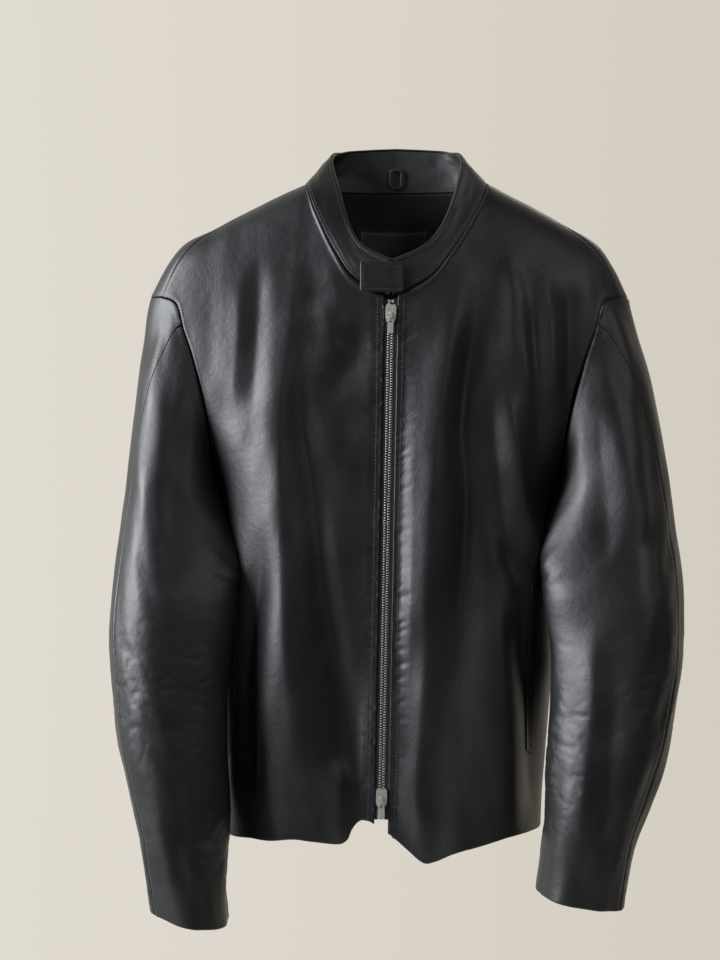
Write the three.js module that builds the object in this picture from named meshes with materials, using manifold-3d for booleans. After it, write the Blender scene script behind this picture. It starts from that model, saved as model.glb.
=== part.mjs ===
// A zipped leather jacket with a stand collar and collar tab, as it hangs from its shoulders.
// Millimetres. +Z is up, the front faces -Y, +X is the wearer's left. The origin is where a hanger carries
// the jacket: on the shoulder ridge, midway between the shoulders, at the height of the back neck seam.

import * as THREE from 'three';
import Module from 'manifold-3d';

const { cos, sin, exp, sqrt, abs, sign, max, min, PI } = Math;

// ---- driving dimensions ----
const shoulderWidth = 492;      // tip to tip, at the sleeve seams
const shoulderDrop = 118;       // from the neck seam down to the tips
const bodyHalfWidth = 174;      // centre front to side seam at the armpits, as it hangs
const hemHalfWidth = 166;       // and at the hem
const bodyLength = 658;         // neck seam level to the hem at the side seams
const zipHemRise = 26;          // the hem rides up to the bottom of the zip
const chestDepth = 90;          // how far the fronts stand forward of the shoulder ridge
const backDepth = 60;           // the flat back, behind the shoulder ridge
const sideSeamDepth = 20;       // the side seams, behind the shoulder ridge
const armpitLevel = 345;        // below the neck seam
const elbowLevel = 420;         // where the sleeves bend
const cuffLevel = 711;          // the outer edge of the cuffs
const neckHalfWidth = 92;
const neckDrop = 122;           // centre front neck seam below the back one
const collarHeight = 48;        // at the back
const zipLean = -10;            // the hem end of the zip hangs this far towards the wearer's right
const neckShift = 8;            // and the neck sits this far to the wearer's left
const leather = 1.2;            // hide thickness
const facingLeather = 1.0;      // the thinner hide inside
const lining = 0.6;             // lining cloth, with its seams
const plyGap = 0.35;            // between one layer and the next
const seamGap = 0.9;            // between two panels sewn edge to edge
const closedSeamGap = 2.5;      // where the two turn in to meet at a fold, as at the side seams
const facingDepth = 2.5;        // the facings and linings lie this far below the leather's face
const sleeveLiningDepth = 2.1;  // and the sleeve linings this far

// zip, a size 5 with metal teeth and two sliders
const zipOpening = 13;          // between the two leather edges
const teethWidth = 5.8;
const teethThickness = 1.6;
const teethParting = 1.1;       // where the two rows meet; the sliders' webs run in it
const tapeWidth = 13;
const tapeThickness = 0.6;
const sliderLength = 17;
const sliderWidth = 10.6;
const pullLength = 18;
const pullWidth = 5.6;

// collar tab and its press stud
const tabWidth = 43;
const tabHeight = 30;
const studRadius = 2.2;
const socketRadius = 5;

// ---- small tools ----
const wasm = await Module();
wasm.setup();

const V = (x, y, z) => new THREE.Vector3(x, y, z);
const mix = (a, b, t) => a + (b - a) * t;
const clamp01 = t => max(0, min(1, t));
const smooth = t => { const c = clamp01(t); return c * c * (3 - 2 * c); };
const degrees = a => a * PI / 180;

// A smooth curve through [position, value] knots, read at a position.
function through(knots, at) {
  let i = 0;
  while (i < knots.length - 2 && at > knots[i + 1][0]) i += 1;
  const [p1, v1] = knots[i];
  const [p2, v2] = knots[i + 1];
  const slope = (a, b) => (knots[b][1] - knots[a][1]) / (knots[b][0] - knots[a][0]);
  const m1 = slope(max(0, i - 1), i + 1);
  const m2 = slope(i, min(knots.length - 1, i + 2));
  const t = clamp01((at - p1) / (p2 - p1));
  const span = p2 - p1;
  return (2 * t ** 3 - 3 * t ** 2 + 1) * v1 + (t ** 3 - 2 * t ** 2 + t) * span * m1
    + (3 * t ** 2 - 2 * t ** 3) * v2 + (t ** 3 - t ** 2) * span * m2;
}

const materials = {
  leather: new THREE.MeshStandardMaterial({ color: 0x1b1c1e, roughness: 0.42, metalness: 0 }),
  leatherInside: new THREE.MeshStandardMaterial({ color: 0x222324, roughness: 0.5, metalness: 0 }),
  lining: new THREE.MeshStandardMaterial({ color: 0x121214, roughness: 0.6, metalness: 0 }),
  label: new THREE.MeshStandardMaterial({ color: 0x4a4544, roughness: 0.7, metalness: 0 }),
  tape: new THREE.MeshStandardMaterial({ color: 0x0d0d0e, roughness: 0.8, metalness: 0 }),
  metal: new THREE.MeshStandardMaterial({ color: 0xc9c4bd, roughness: 0.25, metalness: 1 }),
};

const jacket = new THREE.Group();

function add(name, geometry, material) {
  const mesh = new THREE.Mesh(geometry, material);
  mesh.name = name;
  jacket.add(mesh);
  return mesh;
}

// Solids joined or cut with manifold-3d.
function toSolid(geometry) {
  const g = geometry.index ? geometry.toNonIndexed() : geometry;
  const mesh = new wasm.Mesh({
    numProp: 3,
    vertProperties: new Float32Array(g.attributes.position.array),
    triVerts: Uint32Array.from({ length: g.attributes.position.count }, (_, i) => i),
  });
  mesh.merge();
  return new wasm.Manifold(mesh);
}

function toGeometry(solid) {
  const mesh = solid.getMesh();
  const positions = new Float32Array(mesh.numVert * 3);
  for (let i = 0; i < mesh.numVert; i += 1) {
    for (let k = 0; k < 3; k += 1) positions[i * 3 + k] = mesh.vertProperties[i * mesh.numProp + k];
  }
  const geometry = new THREE.BufferGeometry();
  geometry.setAttribute('position', new THREE.Float32BufferAttribute(positions, 3));
  geometry.setIndex(Array.from(mesh.triVerts));
  return geometry;
}

function box(x0, x1, y0, y1, z0, z1) {
  return new THREE.BoxGeometry(x1 - x0, y1 - y0, z1 - z0).translate((x0 + x1) / 2, (y0 + y1) / 2, (z0 + z1) / 2);
}

// ---- panels: a grid of points on the jacket's face, with its normals ----
// point(i, j) gives the face; hand is +1 where across x down points out of the jacket.
function panel(nu, nv, point, hand) {
  const points = [];
  for (let j = 0; j <= nv; j += 1) {
    for (let i = 0; i <= nu; i += 1) points.push(point(i, j));
  }
  const at = (i, j) => points[j * (nu + 1) + i];
  const normals = points.map((_, k) => {
    const i = k % (nu + 1);
    const j = (k - i) / (nu + 1);
    const along = at(min(nu, i + 1), j).clone().sub(at(max(0, i - 1), j));
    const below = at(i, min(nv, j + 1)).clone().sub(at(i, max(0, j - 1)));
    return along.cross(below).normalize().multiplyScalar(hand);
  });
  const normalAt = (i, j) => normals[j * (nu + 1) + i];
  const blend = (get, a, b) => {
    const i = min(nu - 1, max(0, Math.floor(a)));
    const j = min(nv - 1, max(0, Math.floor(b)));
    const upper = get(i, j).clone().lerp(get(i + 1, j), a - i);
    const lower = get(i, j + 1).clone().lerp(get(i + 1, j + 1), a - i);
    return upper.lerp(lower, b - j);
  };
  return {
    nu, nv, hand,
    read: (a, b) => [blend(at, a, b), blend(normalAt, a, b).normalize()],
    // grid steps for a distance in mm, along or down from a place on the grid
    along: (a, b, mm) => {
      const ends = [max(0, a - 0.5), min(nu, a + 0.5)];
      return mm * (ends[1] - ends[0]) / max(1, blend(at, ends[0], b).distanceTo(blend(at, ends[1], b)));
    },
    down: (a, b, mm) => {
      const ends = [max(0, b - 0.5), min(nv, b + 0.5)];
      return mm * (ends[1] - ends[0]) / max(1, blend(at, a, ends[0]).distanceTo(blend(at, a, ends[1])));
    },
  };
}

function stops(from, to, step) {
  const list = [from];
  for (let k = Math.floor(from / step + 1) * step; k < to - 0.02; k += step) {
    if (k > from + 0.02) list.push(k);
  }
  list.push(to);
  return list;
}

// A closed sheet on a panel: between grid lines from [a0, b0] to [a1, b1], from one depth below the face to
// another, with each edge set in by so many mm: [a0 side, a1 side, b0 side, b1 side].
function sheet(on, [a0, a1, b0, b1], [outerDepth, innerDepth], set = [0, 0, 0, 0], step = 1) {
  const columns = stops(a0, a1, step);
  const rows = stops(b0, b1, step);
  const nu = columns.length - 1;
  const nv = rows.length - 1;
  const place = (i, j) => {
    let a = columns[i];
    let b = rows[j];
    if (i === 0) a += on.along(a, b, set[0]);
    if (i === nu) a -= on.along(a, b, set[1]);
    if (j === 0) b += on.down(a, b, set[2]);
    if (j === nv) b -= on.down(a, b, set[3]);
    return on.read(a, b);
  };
  const positions = [];
  for (const depth of [outerDepth, innerDepth]) {
    for (let j = 0; j <= nv; j += 1) {
      for (let i = 0; i <= nu; i += 1) {
        const [p, n] = place(i, j);
        positions.push(...p.addScaledVector(n, -depth).toArray());
      }
    }
  }
  const faces = [];
  const quad = (a, b, c, d) => faces.push(...(on.hand > 0 ? [a, c, b, a, d, c] : [a, b, c, a, c, d]));
  const layer = (nu + 1) * (nv + 1);
  const id = (i, j, face) => face * layer + j * (nu + 1) + i;
  for (let j = 0; j < nv; j += 1) {
    for (let i = 0; i < nu; i += 1) {
      quad(id(i, j + 1, 0), id(i + 1, j + 1, 0), id(i + 1, j, 0), id(i, j, 0));
      quad(id(i + 1, j, 1), id(i + 1, j + 1, 1), id(i, j + 1, 1), id(i, j, 1));
    }
  }
  for (let i = 0; i < nu; i += 1) {
    quad(id(i, 0, 0), id(i + 1, 0, 0), id(i + 1, 0, 1), id(i, 0, 1));
    quad(id(i, nv, 1), id(i + 1, nv, 1), id(i + 1, nv, 0), id(i, nv, 0));
  }
  for (let j = 0; j < nv; j += 1) {
    quad(id(0, j, 1), id(0, j + 1, 1), id(0, j + 1, 0), id(0, j, 0));
    quad(id(nu, j, 0), id(nu, j + 1, 0), id(nu, j + 1, 1), id(nu, j, 1));
  }
  const geometry = new THREE.BufferGeometry();
  geometry.setAttribute('position', new THREE.Float32BufferAttribute(positions, 3));
  geometry.setIndex(faces);
  return geometry;
}

const leatherPly = [0, leather];
const facingPly = [facingDepth, facingDepth + facingLeather];
const liningPly = [facingDepth + 0.7, facingDepth + 0.7 + lining];

// ---- the body's form ----
const tipX = shoulderWidth / 2;
const hemLevel = -bodyLength;
const zipTop = V(0, -chestDepth * 2 / 3, -neckDrop - 4);
const zipBottom = V(zipLean, zipTop.y - 14, hemLevel + zipHemRise);

// The neck seam in front view, turn 0 at the centre front and PI at the centre back.
const neckFallKnots = [[0, 1], [0.45, 0.83], [0.71, 0.6], [1.08, 0.28], [PI / 2, 0], [PI, 0]];
const neckFall = turn => (turn < PI / 2 ? max(0, through(neckFallKnots, turn)) : 0);
const neckXZ = turn => [neckHalfWidth * sin(turn), -neckDrop * neckFall(turn)];

// The shoulder ridge's level, x out from the centre; across the neck it carries on as an unseen arch.
const neckArch = 30;
const ridgeKnots = [[0, 0], [0.3, 0.19], [0.57, 0.38], [0.78, 0.53], [0.9, 0.74], [1, 1]];
function ridgeLevel(x) {
  if (x < neckHalfWidth) return neckArch * (1 - (x / neckHalfWidth) ** 2);
  return -shoulderDrop * through(ridgeKnots, (x - neckHalfWidth) / (tipX - neckHalfWidth));
}

// The fronts and back close round to the sides at this half width.
function closingWidth(z) {
  if (z < -armpitLevel) return mix(bodyHalfWidth, hemHalfWidth, (z + armpitLevel) / (hemLevel + armpitLevel));
  return mix(bodyHalfWidth, tipX + 14, smooth((z + armpitLevel) / (armpitLevel - shoulderDrop)));
}

function closing(x, z) {
  return sqrt(max(0, 1 - min(1, x / closingWidth(z)) ** 3.4));
}

function frontY(x, z) {
  const below = max(0, ridgeLevel(x) - z);
  const stand = chestDepth * (0.42 * sqrt(1 - exp(-below / 18)) + 0.58 * (1 - exp(-below / 300)));
  const side = sideSeamDepth * smooth(below / 120);
  const chest = side - (side + stand) * closing(x, z);
  const zip = mix(zipTop.y, zipBottom.y, (z - zipTop.z) / (zipBottom.z - zipTop.z));
  return mix(zip, chest, smooth((x - 19) / 70));
}

function backY(x, z) {
  const below = max(0, ridgeLevel(x) - z);
  const stand = backDepth * (0.7 * sqrt(1 - exp(-below / 22)) + 0.39 * (1 - exp(-below / 80)));
  const side = sideSeamDepth * smooth(below / 120);
  return min(backDepth, side + (stand - side) * closing(x, z));
}

// The body hangs a little out of true: the neck to one side and the hem to the other.
function hang(p) {
  const above = smooth((p.z + neckDrop + 3) / (neckDrop + 3));
  const neckPart = neckShift * above * (1 - min(1, abs(p.x) / (tipX + 14)) ** 2);
  const hemPart = zipLean * max(0, (zipTop.z - p.z) / (zipTop.z - zipBottom.z));
  return V(p.x + neckPart + hemPart, p.y, p.z);
}

// A place on the body: reach is the signed root of the drop below the ridge, negative over the front.
function bodyPoint(side, x, reach) {
  const z = ridgeLevel(x) - reach * reach;
  return hang(V(side * x, reach < 0 ? frontY(x, z) : backY(x, z), z));
}
const reachOf = (x, z) => sqrt(max(0, ridgeLevel(x) - z));

// The armhole in front view, from the shoulder tip (0) to the armpit (1).
const armholeX = [[0, 0], [0.06, 0.11], [0.1, 0.22], [0.2, 0.44], [0.3, 0.56], [0.42, 0.72], [0.6, 0.9], [0.82, 0.985], [1, 1]];
const armholeZ = [[0, 0], [0.06, 0.003], [0.1, 0.009], [0.2, 0.045], [0.3, 0.165], [0.42, 0.31], [0.6, 0.54], [0.82, 0.8], [1, 1]];
const armholeXZ = t => [
  mix(tipX, bodyHalfWidth, through(armholeX, t)),
  mix(-shoulderDrop, -armpitLevel, through(armholeZ, t)),
];

// The shoulder seam starts on the ridge at the neck and runs out forward of it.
const seamMeets = 0.1;          // where it reaches the armhole
const [seamEndX, seamEndZ] = armholeXZ(seamMeets);
const seamDrop = ridgeLevel(seamEndX) - seamEndZ;
function shoulderSeam(t) {
  return [mix(neckHalfWidth, seamEndX, t), sqrt(seamDrop * t ** 4.5)];
}

// The place between four edges, each giving [x, reach]; the inner and outer edges' own shape fades quickly.
function between(top, bottom, inner, outer, u, v) {
  const value = k => mix(top(u)[k], bottom(u)[k], v)
    + (1 - u) ** 3 * (inner(v)[k] - mix(top(0)[k], bottom(0)[k], v))
    + u ** 3 * (outer(v)[k] - mix(top(1)[k], bottom(1)[k], v));
  return [value(0), value(1)];
}

const neckPart = 0.5;           // of the top edge of a front or half back
const armholePart = 8 / 18;     // of the side edge
const sideSeam = t => {
  const z = mix(-armpitLevel, hemLevel, t);
  return [closingWidth(z), reachOf(closingWidth(z), z)];
};

function frontPlace(u, v) {
  const start = Math.asin(zipOpening / 2 / neckHalfWidth);
  const top = a => {
    if (a > neckPart) return shoulderSeam((a - neckPart) / (1 - neckPart));
    const [x, z] = neckXZ(mix(start, PI / 2, a / neckPart));
    return [x, reachOf(x, z)];
  };
  const inner = b => {
    const z = mix(-neckDrop, zipBottom.z, b);
    return [zipOpening / 2, reachOf(zipOpening / 2, z)];
  };
  const outer = b => {
    if (b >= armholePart) return sideSeam((b - armholePart) / (1 - armholePart));
    const [x, z] = armholeXZ(mix(seamMeets, 1, b / armholePart));
    return [x, reachOf(x, z)];
  };
  const bottom = a => {
    const x = mix(zipOpening / 2, hemHalfWidth, sin(a * PI / 2));
    return [x, reachOf(x, mix(zipBottom.z, hemLevel, smooth(a * 2)))];
  };
  return between(top, bottom, inner, outer, u, v);
}

function backPlace(u, v) {
  const top = a => {
    if (a > neckPart) {
      const [x, reach] = shoulderSeam((a - neckPart) / (1 - neckPart));
      return [x, -reach];
    }
    const [x, z] = neckXZ(PI - a / neckPart * PI / 2);
    return [x, reachOf(x, z)];
  };
  const inner = b => [0, mix(sqrt(neckArch), reachOf(0, hemLevel), b)];
  const outer = b => {
    if (b >= armholePart) return sideSeam((b - armholePart) / (1 - armholePart));
    const t = mix(-seamMeets, 1, b / armholePart);
    const [x, z] = armholeXZ(abs(t));
    return [x, sign(t) * reachOf(x, z)];
  };
  const bottom = a => {
    const x = hemHalfWidth * sin(a * PI / 2);
    return [x, reachOf(x, hemLevel)];
  };
  return between(top, bottom, inner, outer, u, v);
}

const sides = { right: -1, left: 1 };
const rows = 18;
const frontColumns = 12;
const fronts = {};
for (const [name, side] of Object.entries(sides)) {
  fronts[name] = panel(frontColumns, rows, (i, j) => {
    const [x, reach] = frontPlace(i / frontColumns, j / rows);
    return bodyPoint(side, x, -reach);
  }, -side);
}
const halfBack = 10;
const back = panel(2 * halfBack, rows, (i, j) => {
  const u = (i - halfBack) / halfBack;
  const [x, reach] = backPlace(abs(u), j / rows);
  return bodyPoint(u < 0 ? -1 : 1, x, reach);
}, 1);

// ---- sleeves: loops from the armhole to the cuff, turn 0 on the outside and PI/2 at the front ----
// Down a sleeve, 0 is its top, 1 the elbow and 2 the cuff. These are mm beyond the shoulder tip and the armpit.
const outerLine = {
  right: [[0, 0], [0.16, 7], [0.35, 16], [0.62, 22], [0.92, 30], [1.1, 32], [1.23, 29], [1.42, 22], [1.58, 11], [1.78, -5], [2, -15]],
  left: [[0, 0], [0.16, 12], [0.35, 26], [0.62, 36], [0.92, 45], [1.1, 44], [1.23, 40], [1.42, 28], [1.58, 15], [1.78, -10], [2, -23]],
};
const innerLine = {
  right: [[0, 10], [0.47, 18], [1.07, 14], [1.26, 7], [1.51, -4], [1.68, -13], [1.89, -16], [2, -19]],
  left: [[0, 10], [0.47, 13], [1.08, 4], [1.29, -6], [1.57, -19], [1.76, -25], [2, -37]],
};
const cuffSlant = { right: 18, left: -14 };   // how far the inner edge of a cuff hangs below its outer one
const hangForward = [[0, 0], [0.27, -6], [0.75, -20], [1, -42], [1.27, -58], [1.55, -72], [1.79, -82], [2.06, -84]];
const halfDepth = [[0, 40], [0.27, 56], [0.6, 60], [1, 58], [1.48, 50], [1.79, 41], [2.06, 39]];
const downSleeve = level => (level < elbowLevel
  ? (level - shoulderDrop) / (elbowLevel - shoulderDrop)
  : 1 + (level - elbowLevel) / (cuffLevel - elbowLevel));

function sleevePoint(name, share, turn) {
  const side = sides[name];
  const down = share * 2;
  const levelAt = (top, cuff) => (down < 1 ? mix(top, elbowLevel, down) : mix(elbowLevel, cuff, down - 1));
  const outLevel = levelAt(shoulderDrop + 3, cuffLevel);
  const inLevel = levelAt(armpitLevel + 3, cuffLevel + cuffSlant[name]);
  const out = tipX + through(outerLine[name], down);
  const inn = bodyHalfWidth + through(innerLine[name], down);
  const c = (1 + cos(turn)) / 2;
  const level = mix(inLevel, outLevel, c);
  const hung = downSleeve(level);
  const y = through(hangForward, hung) - through(halfDepth, hung) * sin(turn);
  const tube = V(side * mix(inn, out, c), y, -level);
  const frontHalf = turn % (2 * PI) < PI;
  const round = turn % (2 * PI) / PI;
  const around = (frontHalf ? round : 2 - round) ** 0.85;
  const [x, z] = armholeXZ(around);
  const armhole = bodyPoint(side, x, (frontHalf ? -1 : 1) * reachOf(x, z));
  armhole.add(V(side * 1.6, 0, -1.2));
  const leave = 1 - (1 - clamp01(share / 0.36)) ** 2;
  return armhole.lerp(tube, leave);
}

// The top sleeve runs from the seam that shows down the outside to the one hidden inside, the under sleeve on.
const topTurns = [40, 58, 78, 100, 124, 150, 178, 205];
const underTurns = [205, 232, 258, 283, 307, 328, 346, 360, 374, 386, 400];
const liningTurns = [...underTurns, ...topTurns.slice(1).map(turn => turn + 360)];
const topColumns = topTurns.length - 1;
const underColumns = underTurns.length - 1;
const liningColumns = liningTurns.length - 1;
const sleeveRows = 8;
const sleeves = {};
for (const [name, side] of Object.entries(sides)) {
  for (const [half, from, to] of [['upper', 0.004, 0.5], ['lower', 0.5, 1]]) {
    const crowding = half === 'upper' ? 1.25 : 1;
    const grid = turns => panel(turns.length - 1, sleeveRows, (i, j) =>
      sleevePoint(name, mix(from, to, (j / sleeveRows) ** crowding), degrees(turns[i])), side);
    sleeves[`${name}_top_${half}`] = grid(topTurns);
    sleeves[`${name}_under_${half}`] = grid(underTurns);
    sleeves[`${name}_lining_${half}`] = grid(liningTurns);
  }
}

// ---- the leather ----
const halfSeam = seamGap / 2;
const halfFold = closedSeamGap / 2;
for (const name of ['right', 'left']) {
  const front = fronts[name];
  const c = frontColumns;
  add(`front_panel_${name}`, sheet(front, [0, c, 0, rows], leatherPly, [0, halfFold, halfFold, 0]), materials.leather);
  add(`front_facing_${name}`, sheet(front, [0, 3, 0, rows], facingPly, [2.5, 0, 3, 1]), materials.leatherInside);
  add(`hem_facing_${name}`, sheet(front, [3, c, rows - 1, rows], facingPly, [halfSeam, 3, halfSeam, 1]), materials.leatherInside);
  add(`front_lining_${name}`, sheet(front, [3, c, 2, rows - 1], liningPly, [halfSeam, 3, 0, halfSeam]), materials.lining);
  for (const part of ['top', 'under']) {
    const c2 = part === 'top' ? topColumns : underColumns;
    for (const half of ['upper', 'lower']) {
      const g = sleeves[`${name}_${part}_${half}`];
      const set = [halfFold, halfFold, half === 'lower' ? 0.4 : 0, half === 'upper' ? 0.4 : 0];
      add(`sleeve_${name}_${part}_${half}`, sheet(g, [0, c2, 0, sleeveRows], leatherPly, set), materials.leather);
    }
  }
  const loose = [sleeveLiningDepth, sleeveLiningDepth + lining];
  const upperLining = sleeves[`${name}_lining_upper`];
  const lowerLining = sleeves[`${name}_lining_lower`];
  add(`sleeve_lining_${name}_upper`, sheet(upperLining, [0, liningColumns, 3, sleeveRows], loose, [0.3, 0.3, 0, 1.5]), materials.lining);
  add(`sleeve_lining_${name}_lower`, sheet(lowerLining, [0, liningColumns, 0, sleeveRows - 1], loose, [0.3, 0.3, 1.5, 0.4]), materials.lining);
  add(`cuff_facing_${name}`, sheet(lowerLining, [0, liningColumns, sleeveRows - 1, sleeveRows],
    [leather + plyGap, leather + plyGap + facingLeather], [0.3, 0.3, 0.4, 0.5]), materials.leatherInside);
}
const b = 2 * halfBack;
add('back_panel', sheet(back, [0, b, 0, rows], leatherPly, [halfFold, halfFold, halfSeam, 0]), materials.leather);
add('back_neck_facing', sheet(back, [5, b - 5, 0, 2], facingPly, [0.3, 0.3, 3, 0]), materials.leatherInside);
add('back_lining', sheet(back, [0, b, 2, rows - 1], liningPly, [3, 3, 0.5, halfSeam]), materials.lining);
add('hem_facing_back', sheet(back, [0, b, rows - 1, rows], facingPly, [3, 3, halfSeam, 1]), materials.leatherInside);

// Pocket welts on the face of each front, either side of a slanted slot.
for (const name of ['right', 'left']) {
  add(`pocket_welt_${name}`, sheet(fronts[name], [8.5, 9.25, 13.4, 16.6], [-plyGap - leather, -plyGap]), materials.leather);
}

// Back neck: a patch on the lining carries the label.
const m = halfBack;
const patchDepth = liningPly[1] + plyGap;
add('label_patch', sheet(back, [m - 1.5, m + 1.5, 2.2, 4.6], [patchDepth, patchDepth + 0.7]), materials.leatherInside);
add('label', sheet(back, [m - 1.3, m + 1.3, 2.4, 4.3], [patchDepth + 1.05, patchDepth + 1.5]), materials.label);

// ---- the stand collar: from its right front end round the back to its left ----
const collarColumns = 22;
const collarRows = 3;
const collarStart = Math.asin(1.5 / neckHalfWidth);
const rimX = [[0, 0], [0.45, 31], [0.71, 45], [1.08, 57], [PI / 2, 67], [2.2, 57], [2.7, 32], [PI, 0]];
const rimY = [[0, -62], [0.45, -55], [0.71, -46], [1.08, -28], [PI / 2, 4], [2.2, 27], [2.7, 36], [PI, 39]];
const rimZ = [[0, -137], [0.45, -120], [0.71, -100], [1.08, -64], [PI / 2, -15], [2.2, -6], [2.7, -3], [PI, -1]];
const collar = panel(collarColumns, collarRows, (i, j) => {
  const around = 2 * i / collarColumns - 1;
  const side = around < 0 ? -1 : 1;
  const turn = mix(PI, collarStart, abs(around) ** 0.92);
  const [x, z] = neckXZ(turn);
  const reach = reachOf(x, z);
  const seam = bodyPoint(side, x, turn < PI / 2 ? -reach : reach);
  seam.z += 1.6;
  const rim = V(side * max(1.5, through(rimX, turn)), through(rimY, turn), collarHeight + through(rimZ, turn));
  return seam.lerp(hang(rim), 1 - j / collarRows);
}, 1);
const collarRange = [0, collarColumns, 0, collarRows];
add('collar_outer', sheet(collar, collarRange, leatherPly), materials.leather);
add('collar_stiffener', sheet(collar, collarRange, [leather + 0.8, leather + 1.4], [0.8, 0.8, 0, 1]), materials.tape);
const collarInside = leather + 2.1;
add('collar_inner', sheet(collar, collarRange, [collarInside, collarInside + facingLeather], [0, 0, 0, 1]), materials.leatherInside);

// Hang loop, a doubled strap standing up the inside of the collar from the neck seam.
function rounded(shape, x0, x1, z0, z1, r) {
  shape.moveTo(x0 + r, z0);
  shape.lineTo(x1 - r, z0);
  shape.absarc(x1 - r, z0 + r, r, -PI / 2, 0, false);
  shape.lineTo(x1, z1 - r);
  shape.absarc(x1 - r, z1 - r, r, 0, PI / 2, false);
  shape.lineTo(x0 + r, z1);
  shape.absarc(x0 + r, z1 - r, r, PI / 2, PI, false);
  shape.lineTo(x0, z0 + r);
  shape.absarc(x0 + r, z0 + r, r, PI, PI * 1.5, false);
  return shape;
}
// A flat plate from a shape drawn in front view, its back at y and its thickness towards the front.
function plate(shape, thickness, y = 0) {
  const geometry = new THREE.ExtrudeGeometry(shape, { depth: thickness, bevelEnabled: false, curveSegments: 4 });
  return geometry.rotateX(PI / 2).translate(0, y, 0);
}
const loopShape = rounded(new THREE.Shape(), -8, 8, 2, 25, 3);
loopShape.holes.push(rounded(new THREE.Path(), -4, 4, 6, 21, 1.5));
const [loopFoot] = collar.read(collarColumns / 2, collarRows);
add('hang_loop', plate(loopShape, 1.4).rotateX(degrees(6)).translate(loopFoot.x, loopFoot.y - collarInside - facingLeather - 0.9, loopFoot.z), materials.leatherInside);

// ---- the zip, drawn in front view with its top at the origin, then set on its line ----
const zipLength = zipTop.distanceTo(zipBottom);
const zipFrame = new THREE.Matrix4();
{
  const up = zipTop.clone().sub(zipBottom).normalize();
  const across = V(1, 0, 0).addScaledVector(up, -up.x).normalize();
  zipFrame.makeBasis(across, up.clone().cross(across), up).setPosition(zipTop);
}
const onZip = geometry => geometry.applyMatrix4(zipFrame);
const tapeFace = leather + 0.3;
const toothFace = tapeFace + tapeThickness / 2 - teethThickness / 2;
const toothBack = toothFace + teethThickness;
const stopLength = 3;
const pinLength = 15;
const teethTop = -4;
const teethBottom = -(zipLength - pinLength - 3);
for (const [name, side] of Object.entries(sides)) {
  const across = (a, b2) => (side < 0 ? [-b2, -a] : [a, b2]);
  const row = across(teethParting / 2, teethWidth / 2);
  const tape = across(teethWidth / 2 + 0.3, teethWidth / 2 + 0.3 + tapeWidth);
  add(`zip_tape_${name}`, onZip(box(...tape, tapeFace, tapeFace + tapeThickness, -zipLength + 1, 2)), materials.tape);
  add(`zip_teeth_${name}`, onZip(box(...row, toothFace, toothBack, teethBottom, teethTop)), materials.metal);
  add(`zip_top_stop_${name}`, onZip(box(...row, toothFace - 0.3, toothBack + 0.3, teethTop + 0.4, teethTop + 0.4 + stopLength)), materials.metal);
  add(`zip_pin_${name}`, onZip(box(...row, toothFace, toothBack, teethBottom - 0.4 - pinLength, teethBottom - 0.4)), materials.metal);
}

// A slider: a front and a back plate joined by a web between the rows of teeth, with a bridge for the pull.
const plateBack = toothFace - 0.4;
const plateFront = plateBack - 1.5;
const bridgeClear = 2.2;
const barDrop = 3;              // the pull hangs this far below the slider's middle
function slider(name, centre) {
  const outline = (half, end) => {
    const shape = new THREE.Shape();
    shape.moveTo(-half * 0.72, -sliderLength / 2);
    shape.lineTo(half * 0.72, -sliderLength / 2);
    shape.lineTo(half, -sliderLength / 2 + 4);
    shape.lineTo(half, sliderLength / 2 - end);
    shape.lineTo(half * 0.8, sliderLength / 2);
    shape.lineTo(-half * 0.8, sliderLength / 2);
    shape.lineTo(-half, sliderLength / 2 - end);
    shape.lineTo(-half, -sliderLength / 2 + 4);
    shape.closePath();
    return shape;
  };
  const pieces = [
    plate(outline(sliderWidth / 2, 3), 1.5, plateBack),
    plate(outline(sliderWidth / 2, 3), 1.2, toothBack + 0.4 + 1.2),
    box(-0.25, 0.25, plateBack - 0.2, toothBack + 0.6, -sliderLength / 2 + 0.5, sliderLength / 2 - 0.5),
    box(-1, 1, plateFront - bridgeClear - 1, plateFront + 0.2, -5.5, -4),
    box(-1, 1, plateFront - bridgeClear - 1, plateFront + 0.2, -0.8, 0.5),
    box(-1, 1, plateFront - bridgeClear - 1, plateFront - bridgeClear, -5.5, 0.5),
  ];
  const body = pieces.map(toSolid).reduce((a, c) => a.add(c));
  add(name, onZip(toGeometry(body).translate(0, 0, centre)), materials.metal);
  const pullShape = rounded(new THREE.Shape(), -pullWidth / 2, pullWidth / 2, -pullLength + 0.6, 0.6, 1);
  pullShape.holes.push(rounded(new THREE.Path(), -1.5, 1.5, -6.5, -0.6, 0.4));
  const y = plateFront - bridgeClear / 2 + 0.6;
  add(`${name}_pull`, onZip(plate(pullShape, 1.2, y).translate(0, 0, centre - barDrop)), materials.metal);
}
slider('top_slider', -14);
slider('bottom_slider', -(zipLength - 20.6));

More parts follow.
